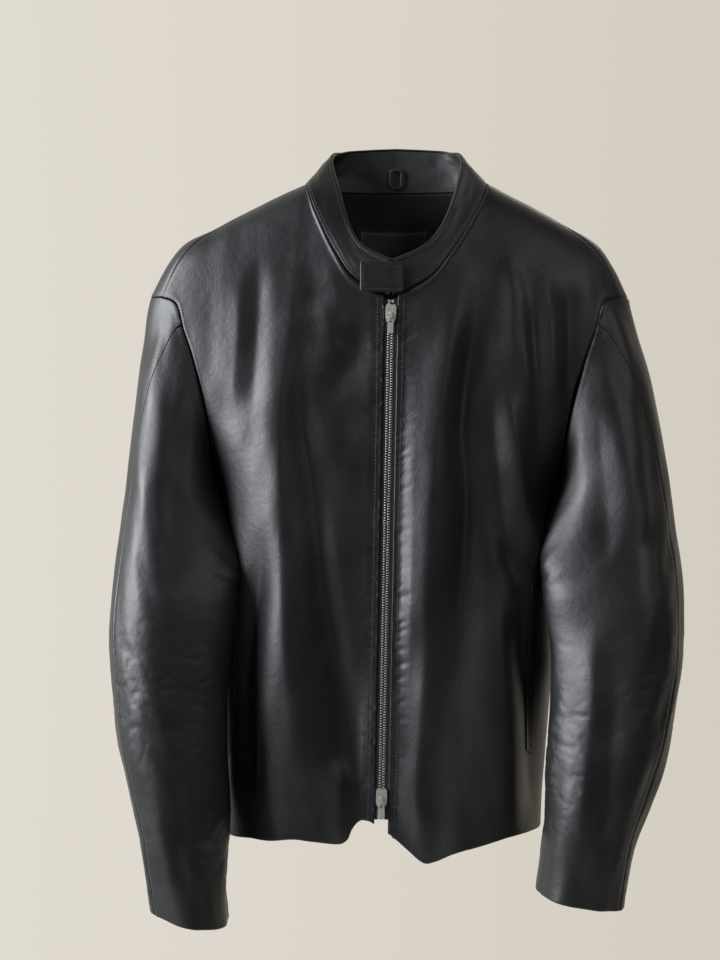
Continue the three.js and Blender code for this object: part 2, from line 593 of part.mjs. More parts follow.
// ---- the collar tab, sewn to the left collar end, and its press stud ----
const tabHinge = V(12, zipTop.y - 1.8, -neckDrop + 2);
const tabLean = degrees(5.3);
const onTab = geometry => geometry.rotateZ(tabLean).translate(tabHinge.x, tabHinge.y, tabHinge.z);
const tabShape = inset => rounded(new THREE.Shape(), -tabWidth + inset, -inset, inset, tabHeight - inset, 1.5);
add('collar_tab', onTab(plate(tabShape(0), leather, -facingLeather - 0.3)), materials.leather);
add('collar_tab_facing', onTab(plate(tabShape(0.6), facingLeather)), materials.leatherInside);
const lathe = (profile, y) => new THREE.LatheGeometry(profile.map(([r, h]) => new THREE.Vector2(r, h)), 20).translate(0, y, 0);
const studX = -24;
const studZ = 13;
const socketFace = 0.3;
add('snap_socket', onTab(lathe([[studRadius, 0], [socketRadius, 0], [socketRadius, 1.2], [studRadius, 1.2], [studRadius, 0]], socketFace)
  .translate(studX, 0, studZ)), materials.metal);
add('snap_stud', onTab(lathe([[0, 0], [studRadius - 0.5, 0], [studRadius - 0.5, 1.25], [4, 1.25], [4, 2], [0, 2]], socketFace + 0.4)
  .translate(studX, 0, studZ)), materials.metal);

export default jacket;
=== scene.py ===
# A zipped leather jacket with a stand collar and a collar tab, as it hangs from its shoulders.
# The shapes are worked out in millimetres and made in metres.
import bpy
import math
import numpy as np
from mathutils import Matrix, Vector


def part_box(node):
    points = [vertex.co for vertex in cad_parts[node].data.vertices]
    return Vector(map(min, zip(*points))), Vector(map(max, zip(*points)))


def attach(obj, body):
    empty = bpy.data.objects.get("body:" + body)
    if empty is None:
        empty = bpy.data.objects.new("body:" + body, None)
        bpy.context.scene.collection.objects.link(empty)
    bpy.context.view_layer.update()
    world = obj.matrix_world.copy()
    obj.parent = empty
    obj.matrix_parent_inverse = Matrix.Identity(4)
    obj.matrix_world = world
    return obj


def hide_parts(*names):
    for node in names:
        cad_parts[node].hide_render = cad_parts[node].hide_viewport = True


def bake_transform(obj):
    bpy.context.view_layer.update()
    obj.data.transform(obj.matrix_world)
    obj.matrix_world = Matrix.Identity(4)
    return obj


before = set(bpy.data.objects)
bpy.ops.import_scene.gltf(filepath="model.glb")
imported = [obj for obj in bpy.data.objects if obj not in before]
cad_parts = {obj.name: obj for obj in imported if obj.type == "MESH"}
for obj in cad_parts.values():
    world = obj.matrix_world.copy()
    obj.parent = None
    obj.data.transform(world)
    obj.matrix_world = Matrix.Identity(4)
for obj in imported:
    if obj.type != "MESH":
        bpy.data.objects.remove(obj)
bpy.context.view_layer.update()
mm = 0.001
print("frame loaded")

form = {
    "tipX": 246,                # half the width across the shoulder tips
    "shoulderDrop": 118,
    "bodyHalfWidth": 174,
    "hemHalfWidth": 166,
    "bodyLength": 658,
    "zipHemRise": 26,
    "chestDepth": 90,
    "backDepth": 60,
    "sideSeamDepth": 20,
    "armpitLevel": 345,
    "elbowLevel": 420,
    "cuffLevel": 711,
    "neckHalfWidth": 92,
    "neckDrop": 122,
    "collarHeight": 48,
    "zipLean": -10,
    "neckShift": 8,
    "zipOpening": 13,
    "fullness": 4.6,            # how squarely the body closes at its sides
    "leather": 1.2,
    "facingDepth": 2.5,         # facings and linings lie this far under the leather's face
    "sleeveLiningDepth": 2.1,
}
tipX = form["tipX"]
halfWidth = form["bodyHalfWidth"]
hemLevel = -form["bodyLength"]
neckWide = form["neckHalfWidth"]
neckDrop = form["neckDrop"]
leather = form["leather"]
sides = {"Right": -1, "Left": 1}


# ---- small tools ----
def mix(a, b, t):
    return a + (b - a) * t


def smooth(t):
    c = np.clip(t, 0, 1)
    return c * c * (3 - 2 * c)


def bump(distance, reach):
    return np.exp(-(distance / reach) ** 2)


def through(knots, at):
    # a smooth curve through (position, value) knots
    places, values = np.array(knots, float).T
    at = np.asarray(at, float)
    last = len(places) - 1
    i = np.clip(np.searchsorted(places, at) - 1, 0, last - 1)
    before = np.maximum(i - 1, 0)
    after = np.minimum(i + 2, last)
    span = places[i + 1] - places[i]
    m1 = (values[i + 1] - values[before]) / (places[i + 1] - places[before])
    m2 = (values[after] - values[i]) / (places[after] - places[i])
    t = np.clip((at - places[i]) / span, 0, 1)
    return ((2 * t**3 - 3 * t**2 + 1) * values[i] + (t**3 - 2 * t**2 + t) * span * m1
            + (3 * t**2 - 2 * t**3) * values[i + 1] + (t**3 - t**2) * span * m2)


def point(x, y, z):
    return np.stack(np.broadcast_arrays(x, y, z), axis=-1).astype(float)


def unit(v):
    return v / np.maximum(np.linalg.norm(v, axis=-1, keepdims=True), 1e-9)


def softNoise(a, b, size, seed):
    # smooth seeded noise from -1 to 1 over a plane, with lumps of about that size
    table = np.random.default_rng(seed).uniform(-1, 1, (64, 64))
    a = np.asarray(a, float) / size
    b = np.asarray(b, float) / size
    i = np.floor(a).astype(int)
    j = np.floor(b).astype(int)
    s = smooth(a - i)
    t = smooth(b - j)
    top = mix(table[i % 64, j % 64], table[(i + 1) % 64, j % 64], s)
    bottom = mix(table[i % 64, (j + 1) % 64], table[(i + 1) % 64, (j + 1) % 64], s)
    return mix(top, bottom, t)


# ---- the body's form, the same as the solid model's ----
zipTop = np.array([0, -form["chestDepth"] * 2 / 3, -neckDrop - 4])
zipBottom = np.array([form["zipLean"], zipTop[1] - 14, hemLevel + form["zipHemRise"]])
neckFallKnots = [(0, 1), (0.45, 0.83), (0.71, 0.6), (1.08, 0.28), (math.pi / 2, 0), (math.pi, 0)]
ridgeKnots = [(0, 0), (0.3, 0.19), (0.57, 0.38), (0.78, 0.53), (0.9, 0.74), (1, 1)]
neckArch = 30
pastTip = 14                    # the body's form closes this far past the shoulder tips
chestFall = {"near": 0.42, "nearOver": 18, "far": 0.58, "farOver": 300}
backFall = {"near": 0.7, "nearOver": 22, "far": 0.39, "farOver": 80}


def neckSeam(turn):
    # across and level of the neck seam, from the centre front (0) to the centre back (pi)
    fall = np.where(turn < math.pi / 2, np.maximum(0, through(neckFallKnots, turn)), 0)
    return neckWide * np.sin(turn), -neckDrop * fall


def ridgeLevel(x):
    arch = neckArch * (1 - (x / neckWide) ** 2)
    slope = -form["shoulderDrop"] * through(ridgeKnots, (x - neckWide) / (tipX - neckWide))
    return np.where(x < neckWide, arch, slope)


def closingWidth(z):
    armpit = form["armpitLevel"]
    low = mix(halfWidth, form["hemHalfWidth"], (z + armpit) / (hemLevel + armpit))
    high = mix(halfWidth, tipX + pastTip, smooth((z + armpit) / (armpit - form["shoulderDrop"])))
    return np.where(z < -armpit, low, high)


def closing(x, z):
    return np.sqrt(np.maximum(0, 1 - np.minimum(1, x / closingWidth(z)) ** form["fullness"]))


def standOff(depth, fall, below):
    # how far the body stands out, so far below its shoulder ridge: quickly at first and then slowly
    near = fall["near"] * np.sqrt(1 - np.exp(-below / fall["nearOver"]))
    return depth * (near + fall["far"] * (1 - np.exp(-below / fall["farOver"])))


def frontY(x, z):
    below = np.maximum(0, ridgeLevel(x) - z)
    stand = standOff(form["chestDepth"], chestFall, below)
    side = form["sideSeamDepth"] * smooth(below / 120)
    chest = side - (side + stand) * closing(x, z)
    zipLine = mix(zipTop[1], zipBottom[1], (z - zipTop[2]) / (zipBottom[2] - zipTop[2]))
    return mix(zipLine, chest, smooth((x - 19) / 70))


def backY(x, z):
    below = np.maximum(0, ridgeLevel(x) - z)
    stand = standOff(form["backDepth"], backFall, below)
    side = form["sideSeamDepth"] * smooth(below / 120)
    return np.minimum(form["backDepth"], side + (stand - side) * closing(x, z))


def hang(p):
    # the neck hangs a little to one side and the hem to the other
    above = smooth((p[..., 2] + neckDrop + 3) / (neckDrop + 3))
    neckPart = form["neckShift"] * above * (1 - np.minimum(1, np.abs(p[..., 0]) / (tipX + pastTip)) ** 2)
    hemPart = form["zipLean"] * np.maximum(0, (zipTop[2] - p[..., 2]) / (zipTop[2] - zipBottom[2]))
    moved = p.copy()
    moved[..., 0] += neckPart + hemPart
    return moved


def bodyPoint(side, x, reach):
    # reach is the signed root of the drop below the shoulder ridge, negative over the front
    z = ridgeLevel(x) - reach * reach
    y = np.where(reach < 0, frontY(x, z), backY(x, z))
    return hang(point(side * x, y, z))


def reachOf(x, z):
    return np.sqrt(np.maximum(0, ridgeLevel(x) - z))


armholeAcross = [(0, 0), (0.06, 0.11), (0.1, 0.22), (0.2, 0.44), (0.3, 0.56), (0.42, 0.72), (0.6, 0.9),
                 (0.82, 0.985), (1, 1)]
armholeFall = [(0, 0), (0.06, 0.003), (0.1, 0.009), (0.2, 0.045), (0.3, 0.165), (0.42, 0.31), (0.6, 0.54),
               (0.82, 0.8), (1, 1)]
seamMeets = 0.1                 # where the shoulder seam reaches the armhole


def armhole(t):
    return (mix(tipX, halfWidth, through(armholeAcross, t)),
            mix(-form["shoulderDrop"], -form["armpitLevel"], through(armholeFall, t)))


seamEndX, seamEndZ = armhole(seamMeets)
seamDrop = ridgeLevel(seamEndX) - seamEndZ


def shoulderSeam(t):
    t = np.clip(t, 0, 1)
    return mix(neckWide, seamEndX, t), np.sqrt(seamDrop * t**4.5)


def sideSeam(t):
    z = mix(-form["armpitLevel"], hemLevel, t)
    return closingWidth(z), reachOf(closingWidth(z), z)


def between(top, bottom, inner, outer, u, v):
    # the place between four edges, each giving (across, reach)
    none = np.zeros_like(u)
    full = none + 1
    found = []
    for k in range(2):
        value = mix(top(u)[k], bottom(u)[k], v)
        value = value + (1 - u) ** 3 * (inner(v)[k] - mix(top(none)[k], bottom(none)[k], v))
        value = value + u**3 * (outer(v)[k] - mix(top(full)[k], bottom(full)[k], v))
        found.append(value)
    return found


neckShare = 0.5                 # of the top edge of a front or half back
armholeShare = 8 / 18           # of its side edge


def frontPlace(u, v):
    half = form["zipOpening"] / 2

    def top(a):
        x, z = neckSeam(mix(math.asin(half / neckWide), math.pi / 2, np.minimum(1, a / neckShare)))
        seamX, seamReach = shoulderSeam((a - neckShare) / (1 - neckShare))
        out = a > neckShare
        return np.where(out, seamX, x), np.where(out, seamReach, reachOf(x, z))

    def inner(b):
        return half + 0 * b, reachOf(half + 0 * b, mix(-neckDrop, zipBottom[2], b))

    def outer(b):
        x, z = armhole(mix(seamMeets, 1, np.minimum(1, b / armholeShare)))
        lowX, lowReach = sideSeam((b - armholeShare) / (1 - armholeShare))
        low = b >= armholeShare
        return np.where(low, lowX, x), np.where(low, lowReach, reachOf(x, z))

    def bottom(a):
        x = mix(half, form["hemHalfWidth"], np.sin(a * math.pi / 2))
        return x, reachOf(x, mix(zipBottom[2], hemLevel, smooth(a * 2)))

    return between(top, bottom, inner, outer, u, v)


def backPlace(u, v):
    def top(a):
        seamX, seamReach = shoulderSeam((a - neckShare) / (1 - neckShare))
        x, z = neckSeam(math.pi - np.minimum(1, a / neckShare) * math.pi / 2)
        out = a > neckShare
        return np.where(out, seamX, x), np.where(out, -seamReach, reachOf(x, z))

    def inner(b):
        return 0 * b, mix(math.sqrt(neckArch), reachOf(0 * b, hemLevel), b)

    def outer(b):
        t = mix(-seamMeets, 1, np.minimum(1, b / armholeShare))
        x, z = armhole(np.abs(t))
        lowX, lowReach = sideSeam((b - armholeShare) / (1 - armholeShare))
        low = b >= armholeShare
        return np.where(low, lowX, x), np.where(low, lowReach, np.sign(t) * reachOf(x, z))

    def bottom(a):
        x = form["hemHalfWidth"] * np.sin(a * math.pi / 2)
        return x, reachOf(x, hemLevel)

    return between(top, bottom, inner, outer, u, v)


# ---- folds: how the leather hangs, in mm across and up on the front ----
# each fold is its line from the top down, its rise, and its reach on the wearer's right and left of the line
folds = {
    "Right": [
        ([(-152, -100), (-149, -155), (-156, -240)], 2.2, 12, 11),
        ([(-130, -70), (-131, -127), (-137, -250)], -3.0, 12, 13),
        ([(-98, -70), (-98, -141), (-104, -195), (-108, -246), (-108, -304), (-105, -420), (-98, -536),
          (-88, -640)], 8.5, 30, 19),
        ([(-92, -130), (-90, -182), (-88, -246), (-77, -304), (-67, -381), (-53, -464), (-42, -547),
          (-40, -588), (-33, -650)], -8.0, 18, 24),
        ([(-120, -330), (-126, -381), (-140, -464), (-146, -526), (-138, -578), (-136, -670)], -7.5, 16, 17),
        ([(-150, -440), (-158, -540), (-154, -660)], 4.0, 12, 12),
        ([(-66, -75), (-55, -114), (-44, -175)], 1.6, 13, 11),
        ([(-23, -150), (-45, -195), (-70, -240)], -3.0, 14, 17),
        ([(-74, -120), (-60, -157), (-48, -200)], 3.0, 22, 18),
        ([(-62, -300), (-46, -430), (-28, -540)], 3.4, 17, 14),
        ([(-52, -570), (-50, -670)], 4.5, 13, 11),
    ],
    "Left": [
        ([(80, -60), (67, -117), (59, -161), (53, -198), (44, -267), (39, -342), (34, -413), (33, -580)],
         8.0, 26, 19),
        ([(36, -450), (27, -575), (25, -610), (31, -690)], 6.0, 15, 15),
        ([(92, -90), (79, -176), (67, -246), (76, -306), (69, -413), (60, -540)], -8.0, 17, 25),
        ([(117, -70), (120, -131), (118, -215)], 2.6, 13, 10),
        ([(125, -85), (131, -147), (136, -240)], 2.4, 11, 10),
        ([(151, -80), (156, -147), (165, -240)], 3.2, 15, 12),
        ([(140, -110), (146, -220), (150, -290)], -3.4, 11, 12),
        ([(177, -95), (179, -161), (174, -240)], -3.2, 11, 11),
        ([(112, -200), (118, -247), (124, -294), (132, -345), (160, -400)], 6.0, 17, 12),
        ([(98, -210), (106, -300), (116, -380), (140, -440)], -5.0, 13, 15),
        ([(128, -400), (137, -507), (142, -559), (147, -670)], -7.5, 15, 16),
        ([(100, -400), (112, -520), (118, -670)], 4.5, 22, 15),
        ([(158, -430), (160, -540), (158, -660)], 4.0, 12, 12),
    ],
}
# how far the hem hangs below its even line, in mm, by the place across
hemDrop = [(-176, 0), (-156, -2), (-137, -5), (-120, -4), (-96, -1), (-76, 8), (-51, 19), (-42, 17),
           (-38, 8), (-29, 1), (-16, 6), (-3, 15), (17, 30), (31, 38), (42, 33), (58, 20), (75, 9),
           (107, -5), (139, -5), (156, 0)]
# on top of the folds: how strong they are drawn, and soft uneven hanging, as its height and size in mm
foldStrength = 1.25
frontUneven = {"broad": (2.2, 30), "fine": (0.6, 15), "lean": 0.06}
backUneven = {"broad": (2.4, 46), "fine": (0.7, 19)}
backFolds = [
    ([(-150, -190), (-120, -300), (-112, -420)], -3.0, 16),
    ([(152, -190), (126, -310), (120, -430)], -3.0, 16),
]
sideSwell = {"depth": 6, "level": -430, "reach": 75}


def foldAt(x, z, line, reachRight, reachLeft, fade=0.3):
    # 1 on the line, falling off to each side and towards its ends
    stops = np.array(line, float)
    for _ in range(2):
        cut = [stops[:1]]
        cut += [np.stack([mix(a, b, 0.25), mix(a, b, 0.75)]) for a, b in zip(stops[:-1], stops[1:])]
        stops = np.concatenate(cut + [stops[-1:]])
    steps = np.linalg.norm(np.diff(stops, axis=0), axis=1)
    gone = np.concatenate([[0], np.cumsum(steps)])
    nearest = np.full(np.shape(x), 1e9)
    along = np.zeros(np.shape(x))
    toLeft = np.zeros(np.shape(x))
    for k, length in enumerate(steps):
        if length < 1e-6:
            continue
        dx, dz = (stops[k + 1] - stops[k]) / length
        t = np.clip((x - stops[k, 0]) * dx + (z - stops[k, 1]) * dz, 0, length)
        offX = x - stops[k, 0] - t * dx
        offZ = z - stops[k, 1] - t * dz
        far = np.hypot(offX, offZ)
        closer = far < nearest
        nearest = np.where(closer, far, nearest)
        along = np.where(closer, (gone[k] + t) / gone[-1], along)
        toLeft = np.where(closer, smooth((offX * -dz + offZ * dx) / 6 + 0.5), toLeft)
    reach = mix(reachRight, reachLeft, toLeft)
    ends = smooth(along / fade) * smooth((1 - along) / fade)
    return np.exp(-(nearest / reach) ** 1.6) * ends


puckers = {"pitch": 6.0, "depth": 1.25, "stitchFromEdge": 7.5, "grooveDepth": 0.45}


def zipPuckers(side, x, z):
    # small creases drawn in by the stitching beside the zip
    chance = np.random.default_rng(40 + side)
    zipX = mix(zipTop[0], zipBottom[0], (z - zipTop[2]) / (zipBottom[2] - zipTop[2]))
    out = side * (x - zipX)
    relief = -puckers["grooveDepth"] * bump(out - form["zipOpening"] / 2 - puckers["stitchFromEdge"], 1.3)
    level = zipTop[2]
    while level > hemLevel:
        tilt = chance.uniform(-0.35, 0.35)
        middle = chance.uniform(8, 17)
        depth = puckers["depth"] * chance.uniform(0.35, 1.25)
        near = np.abs(z - level) < 22
        if near.any():
            off = z[near] - level - tilt * (out[near] - middle)
            crease = bump(off, chance.uniform(1.2, 2.2))
            relief[near] -= depth * crease * bump(out[near] - middle, chance.uniform(4, 8))
        level -= puckers["pitch"] * chance.uniform(0.6, 1.5)
    return relief * smooth((out - 6.5) / 2.5)


def sideFill(x, z):
    # the body swells out a little below the armpits
    fill = sideSwell["depth"] * bump(z - sideSwell["level"], sideSwell["reach"])
    return fill * smooth((np.abs(x) - 125) / 40)


def frontRelief(name, x, z):
    side = sides[name]
    zipX = mix(zipTop[0], zipBottom[0], (z - zipTop[2]) / (zipBottom[2] - zipTop[2]))
    free = smooth((side * (x - zipX) - 9) / 16)
    relief = np.zeros(np.shape(x))
    for line, rise, reachRight, reachLeft in folds[name]:
        relief += foldStrength * rise * foldAt(x, z, line, reachRight, reachLeft)
    height, size = frontUneven["broad"]
    leaning = x + 300 + z * frontUneven["lean"] * side
    relief += height * softNoise(leaning, z * 0.16 + 900, size, 3 + side) * smooth((-70 - z) / 120)
    height, size = frontUneven["fine"]
    relief += height * softNoise(x + 300, z * 0.4 + 900, size, 7 + side)
    return relief * free + zipPuckers(side, x, z) + sideFill(x, z)


def backRelief(x, z):
    height, size = backUneven["broad"]
    relief = height * softNoise(x + 400, z * 0.22 + 800, size, 11) * smooth((-60 - z) / 120)
    height, size = backUneven["fine"]
    relief += height * softNoise(x + 400, z * 0.5 + 800, size, 12)
    for line, rise, reach in backFolds:
        relief += rise * foldAt(x, z, line, reach, reach)
    relief += sideFill(x, z)
    # one soft flute out and one in above the hem
    relief += 2.5 * bump(x + 40, 22) * smooth((-430 - z) / 150)
    return relief - 2.5 * bump(x - 30, 24) * smooth((-400 - z) / 150)


def frontFace(name):
    def face(u, v):
        x, reach = frontPlace(u, v)
        p = bodyPoint(sides[name], x, -reach)
        p[..., 2] -= through(hemDrop, p[..., 0]) * smooth((-390 - p[..., 2]) / 240)
        return p
    return face


def backFace(u, v):
    x, reach = backPlace(np.abs(2 * u - 1), v)
    return bodyPoint(np.where(u < 0.5, -1, 1), x, reach)


# ---- sleeves: loops from the armhole to the cuff; turn 0 is outside and a quarter turn in front ----
# outer, inner and hangForward are (place down the sleeve, mm); 1 is the elbow and 2 the cuff
sleeve = {
    "outer": {
        "Right": [(0, 0), (0.16, 7), (0.35, 16), (0.62, 22), (0.92, 30), (1.1, 32), (1.23, 29), (1.42, 22),
                  (1.58, 11), (1.78, -5), (2, -15)],
        "Left": [(0, 0), (0.16, 12), (0.35, 26), (0.62, 36), (0.92, 45), (1.1, 44), (1.23, 40), (1.42, 28),
                 (1.58, 15), (1.78, -10), (2, -23)],
    },
    "inner": {
        "Right": [(0, 10), (0.47, 18), (1.07, 14), (1.26, 7), (1.51, -4), (1.68, -13), (1.89, -16),
                  (2, -19)],
        "Left": [(0, 10), (0.47, 13), (1.08, 4), (1.29, -6), (1.57, -19), (1.76, -25), (2, -37)],
    },
    "cuffSlant": {"Right": 18, "Left": -14},
    # how far the front of the sleeve laps in over the body's side, by its level, in mm
    "lap": {
        "Right": [(118, 0), (260, 6), (330, 30), (370, 46), (420, 40), (500, 26), (600, 10), (680, 1),
                  (730, 0)],
        "Left": [(118, 0), (260, 6), (330, 30), (370, 44), (420, 34), (500, 16), (600, 4), (680, 0),
                 (730, 0)],
    },
    "lapTurn": (158, 38),       # degrees round the sleeve where it laps, and how far round that reaches
    "hangForward": [(0, 0), (0.27, -6), (0.75, -20), (1, -42), (1.27, -58), (1.55, -72), (1.79, -82),
                    (2.06, -84)],
    "halfDepth": [(0, 40), (0.27, 56), (0.6, 60), (1, 58), (1.48, 50), (1.79, 41), (2.06, 39)],
    "topFrom": 40,              # degrees round the sleeve, where the top sleeve's seams run
    "topTo": 205,
    "leaveArmhole": 0.36,       # share of its length over which it takes its own shape
    "round": 62,                # mm round it for each radian, to place its creases
}


def sleevePoint(name, share, turn):
    side = sides[name]
    down = share * 2
    elbow = form["elbowLevel"]

    def levelAt(top, cuff):
        return np.where(down < 1, mix(top, elbow, down), mix(elbow, cuff, down - 1))

    outLevel = levelAt(form["shoulderDrop"] + 3, form["cuffLevel"])
    inLevel = levelAt(form["armpitLevel"] + 3, form["cuffLevel"] + sleeve["cuffSlant"][name])
    out = tipX + through(sleeve["outer"][name], down)
    inn = halfWidth + through(sleeve["inner"][name], down)
    c = (1 + np.cos(turn)) / 2
    level = mix(inLevel, outLevel, c)
    hung = np.where(level < elbow, (level - form["shoulderDrop"]) / (elbow - form["shoulderDrop"]),
                    1 + (level - elbow) / (form["cuffLevel"] - elbow))
    y = through(sleeve["hangForward"], hung) - through(sleeve["halfDepth"], hung) * np.sin(turn)
    half = np.mod(turn, 2 * math.pi)
    lapAt, lapReach = sleeve["lapTurn"]
    lap = through(sleeve["lap"][name], level) * bump(np.degrees(half) - lapAt, lapReach)
    tube = point(side * (mix(inn, out, c) - lap), y, -level)
    inFront = half < math.pi
    around = np.where(inFront, half / math.pi, 2 - half / math.pi) ** 0.85
    x, z = armhole(around)
    start = bodyPoint(side, x, np.where(inFront, -1, 1) * reachOf(x, z))
    start = start + np.array([side * 0.2, 0, -0.1])
    leave = 1 - (1 - np.clip(share / sleeve["leaveArmhole"], 0, 1)) ** 2
    return mix(start, tube, leave[..., None])


sleeveFolds = {
    "Right": [
        ([(-179, -650), (-170, -632), (-160, -612)], 1.6, 6, 6),
        ([(-236, -150), (-240, -230), (-243, -330)], 1.8, 16, 14),
        ([(-205, -230), (-212, -330), (-216, -420)], -2.2, 12, 14),
        ([(-196, -470), (-204, -540), (-200, -620), (-186, -700)], -2.0, 12, 14),
        ([(-222, -560), (-212, -640), (-205, -710)], 1.8, 14, 12),
    ],
    "Left": [
        ([(192, -430), (191, -510), (185, -549), (179, -595), (170, -680)], 5.5, 18, 10),
        ([(212, -440), (204, -560), (196, -680)], -3.5, 13, 17),
        ([(205, -140), (209, -152), (213, -164)], 1.4, 3, 3),
        ([(198, -146), (203, -158), (208, -170)], 1.3, 3, 3),
        ([(222, -210), (232, -300), (236, -380)], 2.8, 15, 13),
        ([(204, -230), (208, -330), (206, -400)], -2.6, 12, 12),
        ([(252, -260), (256, -350), (250, -430)], -1.8, 12, 12),
    ],
}


def sleeveRelief(name, share, turn, p):
    side = sides[name]
    front = smooth(np.sin(turn) * 1.6 + 0.2)
    relief = np.zeros(np.shape(share))
    for line, rise, reachRight, reachLeft in sleeveFolds[name]:
        relief += rise * foldAt(p[..., 0], p[..., 2], line, reachRight, reachLeft) * front
    ring = np.mod(turn - 1.5 * math.pi, 2 * math.pi) * sleeve["round"]    # from its back
    down = share * 620                                # mm along it
    away = smooth(share / 0.12)
    away = away * smooth(np.abs(np.degrees(np.mod(turn, 2 * math.pi)) - 270) / 30)
    relief += 2.6 * softNoise(ring + down * 0.12, down * 0.2, 34, 21 + side) * away
    relief += 0.9 * softNoise(ring - down * 0.2, down * 0.45, 17, 27 + side) * away
    # short creases that lie across the lower sleeve and gather at the elbow
    crease = 1 - np.abs(softNoise(ring * 0.55 + down * 0.3, down - ring * 0.25, 15, 31 + side)) * 2.4
    fine = 1 - np.abs(softNoise(ring * 0.8 - down * 0.25, down + ring * 0.3, 9, 34 + side)) * 2.6
    where = smooth((share - 0.42) / 0.2) * smooth(softNoise(ring, down, 60, 37 + side) + 0.7) * away
    relief -= (0.55 * np.clip(crease, 0, 1) ** 2 + 0.35 * np.clip(fine, 0, 1) ** 2) * where
    return relief


def sleeveFace(name, turnFrom, turnTo, shareFrom, shareTo):
    def face(u, v):
        share = mix(shareFrom, shareTo, v)
        turn = np.radians(mix(turnFrom, turnTo, u))
        return sleevePoint(name, share, turn)
    return face


# ---- the collar: from its right front end round the back to its left ----
collar = {
    "rimAcross": [(0, 0), (0.45, 31), (0.71, 45), (1.08, 57), (math.pi / 2, 67), (2.2, 57), (2.7, 32),
                  (math.pi, 0)],
    "rimDeep": [(0, -62), (0.45, -55), (0.71, -46), (1.08, -28), (math.pi / 2, 4), (2.2, 27), (2.7, 36),
                (math.pi, 39)],
    "rimLevel": [(0, -137), (0.45, -120), (0.71, -100), (1.08, -64), (math.pi / 2, -19), (2.2, -8),
                 (2.7, -4), (math.pi, -2)],
    "thickness": 4.3,
    "bow": 1.6,                 # how far the middle of its height swells out
}


def collarFace(u, v):
    around = 2 * u - 1
    side = np.where(around < 0, -1, 1)
    turn = mix(math.pi, math.asin(1.5 / neckWide), np.abs(around) ** 0.92)
    x, z = neckSeam(turn)
    reach = reachOf(x, z)
    seam = bodyPoint(side, x, np.where(turn < math.pi / 2, -reach, reach))
    seam[..., 2] += 0.2
    rim = point(side * np.maximum(1.5, through(collar["rimAcross"], turn)), through(collar["rimDeep"], turn),
                form["collarHeight"] + through(collar["rimLevel"], turn))
    return mix(seam, hang(rim), (1 - v)[..., None])


# ---- making cloth and leather: a grid on the face, and closed sheets at depths below it ----
def gridNormals(p, hand):
    along = np.gradient(p, axis=1)
    down = np.gradient(p, axis=0)
    return unit(np.cross(along, down)) * hand


def stopsOver(span, step, start=0.0, end=0.0):
    # shares of a length in mm, closer together near both ends
    near = np.array([0, 0.15, 0.4, 0.75, 1.2, 1.8, 2.6, 3.8])
    count = max(2, int(round((span - start - end - 2 * near[-1]) / step)))
    middle = np.linspace(start + near[-1], span - end - near[-1], count + 1)
    return np.concatenate([start + near[:-1], middle, (span - end - near[:-1])[::-1]]) / span


def makeGrid(face, hand, across, down, relief=None):
    v, u = np.meshgrid(down, across, indexing="ij")
    p = face(u, v)
    if relief is not None:
        p = p + gridNormals(p, hand) * relief(u, v, p)[..., None]
    return withEdges(p, hand)


def withEdges(p, hand):
    acrossSteps = np.linalg.norm(np.diff(p, axis=1), axis=2)
    downSteps = np.linalg.norm(np.diff(p, axis=0), axis=2)
    left = np.concatenate([np.zeros((p.shape[0], 1)), np.cumsum(acrossSteps, axis=1)], axis=1)
    top = np.concatenate([np.zeros((1, p.shape[1])), np.cumsum(downSteps, axis=0)], axis=0)
    return {"face": p, "normal": gridNormals(p, hand), "hand": hand,
            "left": left, "right": left[:, -1:] - left, "top": top, "bottom": top[-1:] - top}


def edgeDip(distance, kind):
    # how the leather goes down at an edge: turned under, or sewn to the next panel
    if kind == "turned":
        r = 1.5
        near = np.clip(r - distance, 0, r)
        return r - np.sqrt(r * r - near * near)
    if kind == "seam":
        return 0.35 * bump(distance, 0.9) - 0.3 * bump(distance - 4.0, 2.2)
    return 0 * distance


def makeMesh(name, points, faces, uv=None):
    faces = np.asarray(faces)
    mesh = bpy.data.meshes.new(name)
    mesh.vertices.add(len(points))
    mesh.vertices.foreach_set("co", (np.asarray(points, float) * mm).astype(np.float32).ravel())
    mesh.loops.add(faces.size)
    mesh.loops.foreach_set("vertex_index", faces.ravel().astype(np.int32))
    mesh.polygons.add(len(faces))
    mesh.polygons.foreach_set("loop_start", np.arange(0, faces.size, faces.shape[1], dtype=np.int32))
    mesh.polygons.foreach_set("use_smooth", np.ones(len(faces), bool))
    if uv is not None:
        layer = mesh.uv_layers.new(name="flat")
        layer.data.foreach_set("uv", (np.asarray(uv) * mm)[faces.ravel()].astype(np.float32).ravel())
    mesh.update(calc_edges=True)
    mesh.validate()
    piece = bpy.data.objects.new(name, mesh)
    bpy.context.scene.collection.objects.link(piece)
    return piece


def shellFaces(rows, columns, hand):
    ids = np.arange(rows * columns).reshape(rows, columns)
    under = ids + rows * columns

    def quads(a, b, c, d):
        return np.stack([a.ravel(), b.ravel(), c.ravel(), d.ravel()], axis=1)

    faces = np.concatenate([
        quads(ids[:-1, :-1], ids[:-1, 1:], ids[1:, 1:], ids[1:, :-1]),
        quads(under[1:, :-1], under[1:, 1:], under[:-1, 1:], under[:-1, :-1]),
        quads(ids[0, 1:], ids[0, :-1], under[0, :-1], under[0, 1:]),
        quads(ids[-1, :-1], ids[-1, 1:], under[-1, 1:], under[-1, :-1]),
        quads(ids[:-1, 0], ids[1:, 0], under[1:, 0], under[:-1, 0]),
        quads(ids[1:, -1], ids[:-1, -1], under[:-1, -1], under[1:, -1]),
    ])
    return faces if hand > 0 else faces[:, ::-1]


